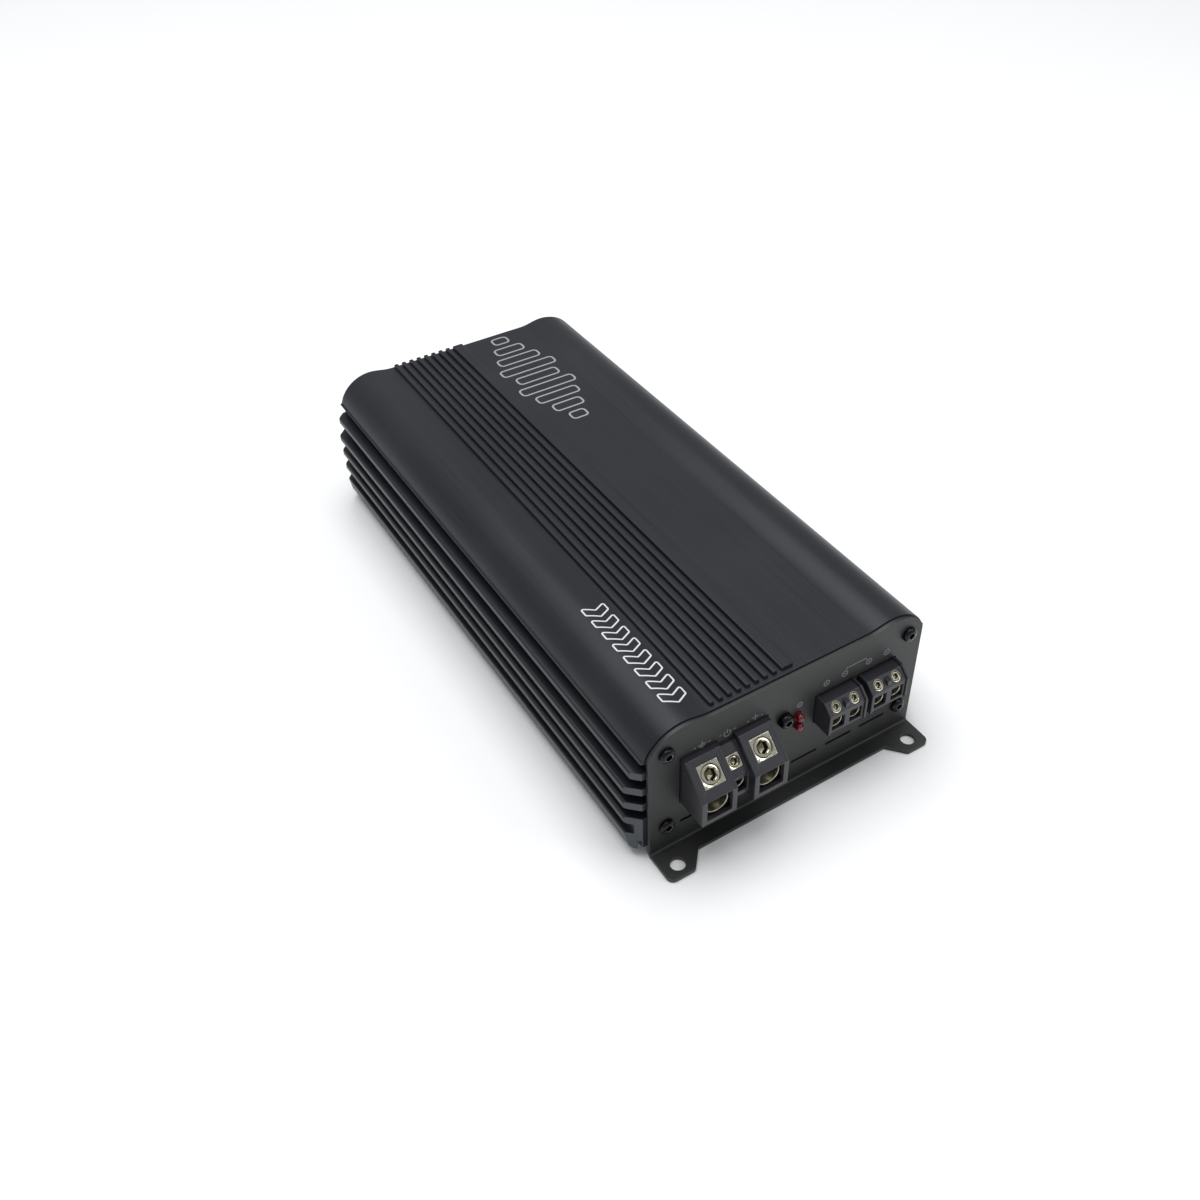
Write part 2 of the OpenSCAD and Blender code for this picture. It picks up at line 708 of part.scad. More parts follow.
module speaker_housing(i) color(black) at_front() difference() {
    x0 = speaker_mid(i) - speaker_half;
    x1 = speaker_mid(i) + speaker_half;
    union() {
        for (x = [x0, x1 - speaker_wall]) along_x(x, x + speaker_wall)
            pole_section(speaker_back, speaker_out, speaker_low, speaker_edge, speaker_top);
        along_x(x0 + eps, x1 - eps)
            pole_section(speaker_back, speaker_out - speaker_dip, speaker_low,
                speaker_edge - speaker_dip / 2, speaker_top - speaker_dip);
        block(x0, x1, housing_foot, speaker_back, board_top, speaker_low + 1);
    }
    for (j = [0, 1]) {
        x = speaker_x[2 * i + j];
        clamp_space(x, speaker_clamp_w, speaker_clamp_h, speaker_wire_z, speaker_clamp_back,
            speaker_out, speaker_tail_w);
        column_space(x, speaker_seat_y, speaker_seat_z) circle(speaker_column_r + slot_gap);
    }
}
module speaker_housing_left() speaker_housing(0);
module speaker_housing_right() speaker_housing(1);

module speaker_clamps() color(nickel) at_front() for (x = speaker_x)
    wire_clamp(x, speaker_clamp_w, speaker_clamp_h, speaker_wire_z, speaker_clamp_front,
        speaker_clamp_back, speaker_wire_r, speaker_seat_y, speaker_seat_z, speaker_screw_r,
        speaker_drop) circle(speaker_column_r);

module speaker_screw(i) set_screw(speaker_x[i], speaker_seat_y, speaker_seat_z, speaker_screw_r,
    speaker_screw_len);
module speaker_screw_1() speaker_screw(0);
module speaker_screw_2() speaker_screw(1);
module speaker_screw_3() speaker_screw(2);
module speaker_screw_4() speaker_screw(3);

// ---- indicators ----
module led(z) color("#a01420") at_front() {
    rod_y(led_x, z, led_r, led_dome, led_base);
    translate([led_x, led_dome, z]) sphere(r = led_r);
    rod_y(led_x, z, led_flange[2], led_flange[0], led_flange[1]);
}
module power_led() led(led_z[0]);
module protect_led() led(led_z[1]);
module led_leads() color("silver") at_front() for (z = led_z, s = [-0.5, 0.5]) {
    x = led_x + s * lead_gap - lead_w / 2;
    block(x, x + lead_w, led_base, led_back(z) + lead_w, z - lead_w / 2, z + lead_w / 2);
    block(x, x + lead_w, led_back(z), led_back(z) + lead_w, board_z - solder, z + lead_w / 2);
}

// ---- rear panel ----
module jack_housing() color(black) at_rear() difference() {
    union() {
        block(jack_x(0) - jack_block, jack_x(1) + jack_block, plate_t + rim_gap, jack_back, board_top,
            control_z + jack_block);
        for (i = [0, 1]) rod_y(jack_x(i), control_z, nose_r, -nose_out, plate_t + 1);
    }
    for (i = [0, 1]) {
        rod_y(jack_x(i), control_z, stem_r, -nose_out - 1, jack_in);
        rod_y(jack_x(i), control_z, pin_hole_r, jack_in - 1, jack_back + 1);
    }
}
// The sleeve's stem, inside the housing, is a little thinner than the part a plug fits on
module jack_sleeves() color("#c8ccd0") at_rear() for (i = [0, 1]) difference() {
    union() {
        rod_y(jack_x(i), control_z, jack_r, -jack_out, -nose_out);
        rod_y(jack_x(i), control_z, stem_r, -jack_out + 1, jack_in);
    }
    rod_y(jack_x(i), control_z, stem_r - jack_wall, -jack_out - 1, jack_in + 1);
}
module jack_insulators() color("#d8d4c8") at_rear() for (i = [0, 1]) difference() {
    rod_y(jack_x(i), control_z, stem_r - jack_wall, nose_out - jack_out, jack_in);
    rod_y(jack_x(i), control_z, contact_r, -jack_out, jack_in + 1);
}
module jack_contacts() color("#d2b45a") at_rear() for (i = [0, 1]) {
    difference() {
        rod_y(jack_x(i), control_z, contact_r, nose_out + contact_wall - jack_out, jack_in);
        rod_y(jack_x(i), control_z, contact_r - contact_wall, -jack_out, jack_in - 1);
    }
    rod_y(jack_x(i), control_z, pin_r, jack_in, jack_back + tail_t);
    block(jack_x(i) - 1, jack_x(i) + 1, jack_back, jack_back + tail_t, board_z - solder, control_z + 1);
}

module remote_port() color("#2a2a2c") at_rear() difference() {
    union() {
        block(port_x - port_w / 2, port_x + port_w / 2, -port_lip, port_depth + port_wall,
            control_z - port_h / 2, control_z + port_h / 2);
        block(port_x - port_w / 2, port_x + port_w / 2, plate_t + fit, port_depth + port_wall, board_top,
            control_z);
    }
    block(port_x - port_hole_w / 2, port_x + port_hole_w / 2, -1, port_depth,
        control_z - port_hole_h / 2, control_z + port_hole_h / 2);
    block(port_x - latch_w / 2, port_x + latch_w / 2, -1, latch_deep,
        control_z - port_hole_h / 2 - latch_h, control_z);
}
module remote_port_contacts() color("#d2b45a") at_rear() for (i = [-2.5:2.5]) {
    x = port_x + i * wire_pitch - port_wire / 2;
    z = control_z + port_hole_h / 2;
    block(x, x + port_wire, port_wire_y, port_depth, z - port_wire, z);
    block(x, x + port_wire, port_depth - 1, port_depth, control_z, z);
}

module control_pots() color("#31506b") at_rear() for (i = [0:3]) difference() {
    block(knob_x(i) - pot_w / 2, knob_x(i) + pot_w / 2, pot_y, pot_y + pot_len, board_top,
        control_z + pot_h);
    rod_y(knob_x(i), control_z, pivot_r + slip, plate_t, pot_y + pivot_len + fit);
}
module knob(i) color("#2c2c2e") at_rear() difference() {
    union() {
        rod_y(knob_x(i), control_z, knob_r, knob_edge - knob_out, pot_y - fit);
        rod_y(knob_x(i), control_z, knob_r - knob_edge, -knob_out, 0);
        rod_y(knob_x(i), control_z, pivot_r, plate_t, pot_y + pivot_len);
    }
    x0 = knob_x(i) - knob_slot / 2;
    block(x0, x0 + knob_slot, -knob_out - 1, knob_slot_deep - knob_out, control_z - 5, control_z + 5);
    block(x0, x0 + knob_slot, -knob_out - 1, 1.5 * knob_slot_deep - knob_out, control_z, control_z + 5);
}
module level_knob() knob(0);
module low_pass_knob() knob(1);
module subsonic_knob() knob(2);
module bass_boost_knob() knob(3);

module switch_body() color("silver") at_rear() difference() {
    x0 = switch_x + switch_pin_w - switch_foot_w - fit;
    x1 = switch_x + switch_pin_w + switch_travel + fit;
    half = foot_half + fit;
    block(x0 - switch_wall, x1 + switch_wall, plate_t + fit, switch_end, board_top,
        control_z + half + switch_wall);
    block(x0, x1, plate_t, foot_y[1] + fit, control_z - half, control_z + half);
}
module switch_slider() color("#2c2c2e") at_rear() {
    x1 = switch_x + switch_pin_w;
    block(switch_x, x1, -switch_out, foot_y[1], control_z - switch_half, control_z + switch_half);
    block(x1 - switch_foot_w, x1, foot_y[0], foot_y[1], control_z - foot_half, control_z + foot_half);
}

// ---- inside ----
// A wound ring is a core and a winding that leaves part of it bare.
// ring = [inner radius, outer radius, core height, winding thickness]
module ring_core(ring) rotate_extrude() translate([ring[0], ring[3]]) square([ring[1] - ring[0], ring[2]]);
module ring_winding(ring) rotate_extrude(angle = wound_angle) difference() {
    w = ring[1] - ring[0];
    translate([(ring[0] + ring[1]) / 2, ring[3] + ring[2] / 2])
        rounded(w + 2 * ring[3], ring[2] + 2 * ring[3], ring[3]);
    translate([ring[0], ring[3]]) square([w, ring[2]]);
}
module transformer_core() color("#7a7a72") translate([transformer_x, transformer_y, board_top])
    ring_core(transformer_ring);
module transformer_winding() color(copper) translate([transformer_x, transformer_y, board_top])
    ring_winding(transformer_ring);
module inductor_cores() color("#c8b040") for (x = inductor_x) translate([x, inductor_y, board_top])
    ring_core(inductor_ring);
module inductor_windings() color(copper) for (x = inductor_x) translate([x, inductor_y, board_top])
    ring_winding(inductor_ring);

// A capacitor with the groove that its can is crimped in and a sunk top
module capacitor(x, y, r, h) translate([x, y, board_top]) difference() {
    cylinder(r = r, h = h);
    translate([0, 0, crimp_z]) rotate_extrude() translate([r + crimp_r / 2, 0]) circle(crimp_r);
    translate([0, 0, h - 0.5]) cylinder(r = r - 1.5 * crimp_r, h = 1);
}
module storage_capacitors() color("#20242e") for (y = storage_y, i = [-1.5:1.5])
    capacitor(i * storage_pitch, y, capacitor_r, capacitor_h);
module input_capacitors() color("#20242e") for (i = [-1.5:1.5])
    capacitor(i * input_pitch, input_y, input_r, input_h);

function mirror_x(side) = side < 0 ? [0, 0, 0] : [1, 0, 0];
module on_side(side) mirror(mirror_x(side)) children();
module transistors(side) color("#2a2a2c") on_side(side) for (i = [0:transistor_count - 1])
    translate([0, transistor_y0 + i * transistor_pitch, 0]) {
        block(-inside_x + pad_t, -bar_x, -transistor_w / 2, transistor_w / 2, transistor_low,
            transistor_low + transistor_h);
        for (i = [-1:1])
            block(-bar_x - 2 * leg_w, -bar_x - leg_w, i * lead_gap - leg_w / 2, i * lead_gap + leg_w / 2,
                board_top, transistor_low);
    }
module transistors_left() transistors(-1);
module transistors_right() transistors(1);

module insulator(side) color("#9aa0a4") on_side(side) difference() {
    block(-inside_x, -inside_x + pad_t, bar_y0 - pad_edge, bar_y0 + bar_len + pad_edge,
        transistor_low - pad_edge, transistor_low + transistor_h + pad_edge);
    bar_holes();
}
module bar_holes() for (i = [0:2:transistor_count - 2])
    translate([-inside_x - 1, bar_screw_y(i), bar_z]) rotate([0, 90, 0])
        cylinder(r = screw_r + free, h = inside_x);
module insulator_left() insulator(-1);
module insulator_right() insulator(1);

module clamp_bar(side) color("silver") on_side(side) difference() {
    block(-bar_x, -bar_x + bar_t, bar_y0, bar_y0 + bar_len, bar_z - bar_h / 2, bar_z + bar_h / 2);
    bar_holes();
}
module clamp_bar_left() clamp_bar(-1);
module clamp_bar_right() clamp_bar(1);

module clamp_bar_screws() color("#c0c0c0") for (s = [-1, 1], i = [0:2:transistor_count - 2]) on_side(s)
    translate([-bar_x + bar_t, bar_screw_y(i), bar_z]) rotate([0, 0, 90])
        case_screw(screw_head_h, inside_x - bar_x + bar_t + bar_screw_len);

module driver_board() color("#1f5b33")
    block(-driver_w / 2, driver_w / 2, driver_y, driver_y + driver_t, board_top, board_top + driver_h);
module driver_chips() color("#1c1c1e") {
    for (x = upright_x) translate([x - upright[0] / 2, driver_y + driver_t, board_top + upright[2] / 2])
        cube(upright);
    for (x = chip_x, y = chip_y) translate([x - chip[0] / 2, driver_y + y - chip[1] / 2, board_top])
        cube(chip);
}

heatsink_case();
bottom_cover();
bottom_cover_screws();
front_end_plate();
rear_end_plate();
front_plate_screws();
rear_plate_screws();
anchor_bracket();
anchor_screw();
main_board();
power_terminal_housing();
ground_clamp();
remote_clamp();
positive_clamp();
ground_screw();
remote_screw();
positive_screw();
power_terminal_tails();
speaker_housing_left();
speaker_housing_right();
speaker_clamps();
speaker_screw_1();
speaker_screw_2();
speaker_screw_3();
speaker_screw_4();
speaker_terminal_tails();
power_led();
protect_led();
led_leads();
jack_housing();
jack_sleeves();
jack_insulators();
jack_contacts();
remote_port();
remote_port_contacts();
control_pots();
level_knob();
low_pass_knob();
subsonic_knob();
bass_boost_knob();
switch_body();
switch_slider();
transformer_core();
transformer_winding();
inductor_cores();
inductor_windings();
storage_capacitors();
input_capacitors();
transistors_left();
transistors_right();
insulator_left();
insulator_right();
clamp_bar_left();
clamp_bar_right();
clamp_bar_screws();
driver_board();
driver_chips();
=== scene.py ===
"""Looks of the car amplifier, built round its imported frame.

Sizes here are in millimetres and become metres when a mesh is made. X runs across the
amplifier, Y along it (the terminals face -Y) and Z up from the mounting surface.
Pieces on an end panel are worked out in panel coordinates: x across as seen from outside,
y the depth behind the panel's outer face (negative stands out of it) and z up.
"""
import math

import bmesh
import bpy
import numpy as np
from mathutils import Matrix, Vector
from mathutils.geometry import delaunay_2d_cdt


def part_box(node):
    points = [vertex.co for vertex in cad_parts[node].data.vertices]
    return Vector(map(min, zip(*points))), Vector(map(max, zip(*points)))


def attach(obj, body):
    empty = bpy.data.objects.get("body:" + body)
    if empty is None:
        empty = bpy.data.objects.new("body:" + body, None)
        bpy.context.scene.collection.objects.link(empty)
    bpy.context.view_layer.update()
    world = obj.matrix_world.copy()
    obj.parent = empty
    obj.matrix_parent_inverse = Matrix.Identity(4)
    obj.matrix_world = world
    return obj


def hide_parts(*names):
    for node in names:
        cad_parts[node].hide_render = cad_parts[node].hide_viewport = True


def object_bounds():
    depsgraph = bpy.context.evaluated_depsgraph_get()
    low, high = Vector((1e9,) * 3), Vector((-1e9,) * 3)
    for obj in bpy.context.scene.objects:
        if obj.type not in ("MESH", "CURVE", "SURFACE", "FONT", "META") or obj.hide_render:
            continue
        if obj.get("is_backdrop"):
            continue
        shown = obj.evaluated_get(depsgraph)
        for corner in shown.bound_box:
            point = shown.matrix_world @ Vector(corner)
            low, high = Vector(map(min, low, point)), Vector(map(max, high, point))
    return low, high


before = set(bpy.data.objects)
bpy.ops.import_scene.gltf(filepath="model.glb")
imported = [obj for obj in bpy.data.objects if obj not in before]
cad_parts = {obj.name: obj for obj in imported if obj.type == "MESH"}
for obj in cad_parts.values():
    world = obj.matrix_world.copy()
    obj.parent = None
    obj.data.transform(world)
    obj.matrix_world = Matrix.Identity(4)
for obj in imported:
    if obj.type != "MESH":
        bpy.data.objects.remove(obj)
cad_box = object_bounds()
MM = 0.001


def span(node):
    """Lowest and highest corner of a CAD node, in mm."""
    low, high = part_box(node)
    return np.array(low) / MM, np.array(high) / MM


# ---- shapes

def arc(cx, cy, r, a0, a1, n):
    """Points at radius r round (cx, cy), at n + 1 even angles from a0 to a1 degrees."""
    a = np.radians(np.linspace(a0, a1, n + 1))
    return np.c_[cx + r * np.cos(a), cy + r * np.sin(a)]


def box2(x0, x1, z0, z1):
    """The four corners of a rectangle, anticlockwise."""
    return np.array([[x0, z0], [x1, z0], [x1, z1], [x0, z1]], float)


def filleted(points, radius, n=5):
    """Each corner is cut back by r * tan(half its turn) along both sides and bridged by an arc."""
    p = np.asarray(points, float)
    r = np.broadcast_to(np.asarray(radius, float), len(p)).copy()
    a, b = np.roll(p, 1, 0) - p, np.roll(p, -1, 0) - p
    la, lb = np.linalg.norm(a, axis=1), np.linalg.norm(b, axis=1)
    a, b = a / la[:, None], b / lb[:, None]
    half = np.arccos(np.clip((a * b).sum(1), -1, 1)) / 2
    cut = np.minimum(r / np.tan(half), 0.49 * np.minimum(la, lb))
    r = cut * np.tan(half)
    mid = a + b
    mid /= np.maximum(np.linalg.norm(mid, axis=1), 1e-9)[:, None]
    centre = p + mid * (r / np.sin(half))[:, None]
    start, end = p + a * cut[:, None] - centre, p + b * cut[:, None] - centre
    a0 = np.arctan2(start[:, 1], start[:, 0])
    turn = np.arctan2(end[:, 1], end[:, 0]) - a0
    turn = (turn + np.pi) % (2 * np.pi) - np.pi
    ang = a0[:, None] + turn[:, None] * np.linspace(0, 1, n + 1)
    out = centre[:, None] + r[:, None, None] * np.stack([np.cos(ang), np.sin(ang)], -1)
    out = np.where((r > 1e-6)[:, None, None], out, p[:, None])
    return apart(out.reshape(-1, 2))


def rounded(x0, x1, z0, z1, radius, n=5):
    """A rectangle with its corners filleted."""
    return filleted(box2(x0, x1, z0, z1), radius, n)


def apart(loop):
    """A loop without points that lie on the one before."""
    return loop[np.linalg.norm(loop - np.roll(loop, 1, 0), axis=1) > 1e-5]


def turning(loop):
    """Signed area of a loop: positive when it runs anticlockwise."""
    q = np.roll(loop, -1, 0)
    return (loop[:, 0] * q[:, 1] - q[:, 0] * loop[:, 1]).sum() / 2


def drawn_in(loop, d):
    """Every point moved by d along the mean of its two sides' left normals, over their cosine."""
    e = np.roll(loop, -1, 0) - loop
    e /= np.linalg.norm(e, axis=1)[:, None]
    n = np.c_[-e[:, 1], e[:, 0]]
    m = np.roll(n, 1, 0)
    return loop + d * (n + m) / np.maximum(1 + (n * m).sum(1), 0.35)[:, None]


def crossed(loop, axis, value):
    """A loop with a point added wherever it crosses coordinate = value."""
    q = np.roll(loop, -1, 0)
    a, b = loop[:, axis] - value, q[:, axis] - value
    hit = np.flatnonzero(a * b < -1e-12)
    new = loop[hit] + (q - loop)[hit] * (a[hit] / (a - b)[hit])[:, None]
    return np.insert(loop, hit + 1, new, axis=0)


def within(points, loop):
    """Even-odd rule: a point is inside if a ray from it crosses the loop an odd number of times."""
    a, b = loop[None], np.roll(loop, -1, 0)[None]
    p = points[:, None]
    cut = (a[..., 1] > p[..., 1]) != (b[..., 1] > p[..., 1])
    rise = np.where(cut, b[..., 1] - a[..., 1], 1)
    x = a[..., 0] + (p[..., 1] - a[..., 1]) * (b[..., 0] - a[..., 0]) / rise
    return (cut & (p[..., 0] < x)).sum(1) % 2 == 1


def area(loops, chords=()):
    """Triangles between an outline and its holes, with the chords (pairs of points) kept as edges."""
    starts = np.cumsum([0] + [len(q) for q in loops])
    pts = np.vstack(loops)
    edges = [np.c_[np.arange(len(q)), np.roll(np.arange(len(q)), -1)] + k for q, k in zip(loops, starts)]
    edges = np.vstack(edges + ([np.asarray(chords, int)] if len(chords) else []))
    out = delaunay_2d_cdt(list(map(Vector, pts.tolist())), edges.tolist(), [], 0, 1e-7)
    v, f = np.array(list(map(tuple, out[0]))), np.array(out[2])
    mid = v[f].mean(1)
    inside = np.zeros(len(f), bool)
    for q in loops:
        inside ^= within(mid, q)
    return v, f[inside].tolist()


def grid(p):
    """Quads between neighbours of an array of points, with the last column joined to the first."""
    k = np.arange(p.shape[0] * p.shape[1]).reshape(p.shape[:2])
    k = np.hstack([k, k[:, :1]])
    f = np.stack([k[:-1, :-1], k[1:, :-1], k[1:, 1:], k[:-1, 1:]], -1)
    return p.reshape(-1, 3), f.reshape(-1, 4).tolist()


def slab(loops, t0, t1, rim, place, cuts=(), steps=3):
    """A flat shape with holes, (u, v), carried from t0 to t1 and put in space by place(u, v, t).

    Within rim of each end it is drawn in along a quarter circle: in by rim * (1 - sin a)
    at the depth rim * (1 - cos a). Each cut (axis, value) becomes a row of edges, so that
    place may fold the shape along it.
    """
    loops = [q if (turning(q) > 0) == (i == 0) else q[::-1] for i, q in enumerate(loops)]
    for axis, value in cuts:
        loops = [crossed(q, axis, value) for q in loops]
    points = np.vstack(loops)
    chords = []
    for axis, value in cuts:
        on = np.flatnonzero(np.abs(points[:, axis] - value) < 1e-6)
        on = on[np.argsort(points[on, 1 - axis])]
        middle = (points[on[1:]] + points[on[:-1]]) / 2
        inside = sum(within(middle, q) for q in loops) % 2 == 1
        chords += np.c_[on[:-1], on[1:]][inside].tolist()
    a = np.radians(np.linspace(0, 90, steps + 1))
    inset = np.r_[rim * (1 - np.sin(a)), rim * (1 - np.sin(a))[::-1]]
    depth = np.r_[t0 + rim * (1 - np.cos(a)), (t1 - rim * (1 - np.cos(a)))[::-1]]
    shells = []
    for q in loops:
        ring = np.stack([drawn_in(q, d) for d in inset])
        t = np.broadcast_to(depth[:, None], ring.shape[:2])
        shells.append(grid(place(ring[..., 0], ring[..., 1], t)))
    v, f = area([drawn_in(q, rim) for q in loops], chords)
    for t in (t0, t1):
        shells.append((place(v[:, 0], v[:, 1], np.full(len(v), t)), f))
    return joined(shells)


def turned(profile, place, n=48, six=None):
    """A profile of (radius, height) turned about its own axis and put in space by place.

    six gives each station a weight from 0, round, to 1, a hexagon with that radius across
    its flats: r * (1 + six * (1 / cos(angle from the nearest flat) - 1)).
    """
    profile = np.asarray(profile, float)
    t = np.linspace(0, 2 * np.pi, n, endpoint=False)
    flat = 1 / np.cos((t + np.pi / 6) % (np.pi / 3) - np.pi / 6) - 1
    w = np.zeros(len(profile)) if six is None else np.asarray(six, float)
    r = profile[:, :1] * (1 + w[:, None] * flat)
    h = np.broadcast_to(profile[:, 1:], r.shape)
    return grid(place(r * np.cos(t), r * np.sin(t), h))


def joined(shells):
    """Several lots of points and faces as one."""
    starts = np.cumsum([0] + [len(v) for v, _ in shells]).tolist()
    faces = [[k + start for k in face] for (_, f), start in zip(shells, starts) for face in f]
    return np.vstack([v for v, _ in shells]), faces


# Ways to put a shape in space, in panel coordinates
def along_y(u, v, t):
    """A section in (x, z) carried along y."""
    return np.stack([u, t, v], -1)


def along_x(u, v, t):
    """A section in (y, z) carried along x."""
    return np.stack([t, u, v], -1)


def upright(u, v, t):
    """A plan in (x, y) carried along z."""
    return np.stack([u, v, t], -1)


def outward(x, z):
    """Shapes that stand out of a panel at (x, z)."""
    return lambda u, v, t: np.stack([x + u, -t, z + v], -1)


LEAN = math.radians(43.3)  # lean of the terminals' sloping faces


def on_slope(x, y, z):
    """Shapes that stand square on a sloping face: v runs up the slope, t leaves it."""
    s, c = math.sin(LEAN), math.cos(LEAN)
    return lambda u, v, t: np.stack([x + u, y + v * c - t * s, z + v * s + t * c], -1)


def line(points, bends):
    """A line of straights and arcs in (y, z) through corner points, with its length at every point.

    Returns distance, y, z and the unit left normal there; place_on turns them into a surface.
    """
    p = np.asarray(points, float)
    inner = filleted(p, [0] + list(bends) + [0], 6) if len(p) > 2 else p
    step = np.linalg.norm(np.diff(inner, axis=0), axis=1)
    s = np.r_[0, np.cumsum(step)]
    e = np.diff(inner, axis=0) / step[:, None]
    e = np.vstack([e[:1], e, e[-1:]])
    m = e[:-1] + e[1:]
    m /= np.linalg.norm(m, axis=1)[:, None]
    grow = 1 / np.maximum((m * e[1:]).sum(1), 0.5)
    return s, inner[:, 0], inner[:, 1], -m[:, 1] * grow, m[:, 0] * grow


def place_on(path):
    """Folds a flat shape (x, s) along a line: the point at distance s, moved t along the normal."""
    s, y, z, ny, nz = path
    return lambda u, v, t: np.stack([u, np.interp(v, s, y) + t * np.interp(v, s, ny),
                                     np.interp(v, s, z) + t * np.interp(v, s, nz)], -1)


PLATE_T = 1.5  # thickness of the end plates' sheet
FRONT_Y = span("front_end_plate")[1][1] - PLATE_T  # outer faces of the two end plates
REAR_Y = span("rear_end_plate")[0][1] + PLATE_T
SHARP = 32  # edges that turn more degrees stay crisp


def front(p):
    """Panel coordinates at the front."""
    return p + [0, FRONT_Y, 0]


def rear(p):
    """Panel coordinates at the rear: turned half round about Z."""
    return np.c_[-p[:, 0], REAR_Y - p[:, 1], p[:, 2]]


def closed_mesh(name, v, f, coats=None):
    """A mesh in metres from points in mm: doubles merged and all faces turned outwards."""
    mesh = bpy.data.meshes.new(name)
    mesh.from_pydata((v * MM).tolist(), [], f)
    if coats is not None:
        mesh.polygons.foreach_set("material_index", coats.astype(np.int32))
    bm = bmesh.new()
    bm.from_mesh(mesh)
    bmesh.ops.remove_doubles(bm, verts=bm.verts, dist=2e-6)
    bmesh.ops.dissolve_degenerate(bm, edges=bm.edges, dist=1e-7)
    bmesh.ops.recalc_face_normals(bm, faces=bm.faces)
    bm.to_mesh(mesh)
    bm.free()
    return mesh


def drilled(shell, cutter):
    """The shell less the cutter: an exact Boolean difference of the two closed surfaces."""
    made = [bpy.data.objects.new("drilled", closed_mesh("drilled", *q)) for q in (shell, cutter)]
    for obj in made:
        bpy.context.scene.collection.objects.link(obj)
    cut = made[0].modifiers.new("cut", "BOOLEAN")
    cut.object, cut.operation, cut.solver = made[1], "DIFFERENCE", "EXACT"
    mesh = bpy.data.meshes.new_from_object(made[0].evaluated_get(bpy.context.evaluated_depsgraph_get()))
    v = np.zeros(len(mesh.vertices) * 3)
    mesh.vertices.foreach_get("co", v)
    f = [list(q.vertices) for q in mesh.polygons]
    for used in (mesh, made[0].data, made[1].data):
        bpy.data.meshes.remove(used)  # takes its object with it
    return v.reshape(-1, 3) / MM, f


def piece(name, shells, coat, stands_for=(), body="root", *, panel=None, record_slot):
    """One object from shells, put on a panel, smooth wherever it turns by less than SHARP.

    coat is one material, or one for each shell. Normals are weighted by face area, so that
    flat faces shade flat up to their rounded edges.
    """
    shells = list(shells)
    v, f = joined(shells)
    if panel:
        v = panel(v)
    coats = coat if isinstance(coat, list) else [coat] * len(shells)
    kinds = list(dict.fromkeys(coats))
    which = np.repeat([kinds.index(m) for m in coats], [len(q[1]) for q in shells])
    mesh = closed_mesh(name, v, f, which)
    for m in kinds:
        mesh.materials.append(m)
    mesh.shade_smooth()
    mesh.set_sharp_from_angle(angle=math.radians(SHARP))
    obj = bpy.data.objects.new(name, mesh)
    bpy.context.scene.collection.objects.link(obj)
    even = obj.modifiers.new("even_normals", "WEIGHTED_NORMAL")
    even.keep_sharp, even.weight = True, 100
    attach(obj, body)
    if stands_for:
        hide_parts(*stands_for)
    return obj


# ---- finishes

def paint(code):
    """An sRGB hex colour as linear values: ((c + 0.055) / 1.055) ^ 2.4, or c / 12.92 when dark."""
    c = np.array([int(code[i:i + 2], 16) for i in (1, 3, 5)]) / 255
    return (*np.where(c <= 0.04045, c / 12.92, ((c + 0.055) / 1.055) ** 2.4), 1.0)


def add(tree, kind, inputs=None, **settings):
    """A node with its settings; a socket given as an input is linked, anything else is its value."""
    node = tree.nodes.new(kind)
    for key, value in settings.items():
        setattr(node, key, value)
    for key, value in (inputs or {}).items():
        if isinstance(value, bpy.types.NodeSocket):
            tree.links.new(value, node.inputs[key])
        else:
            node.inputs[key].default_value = value
    return node


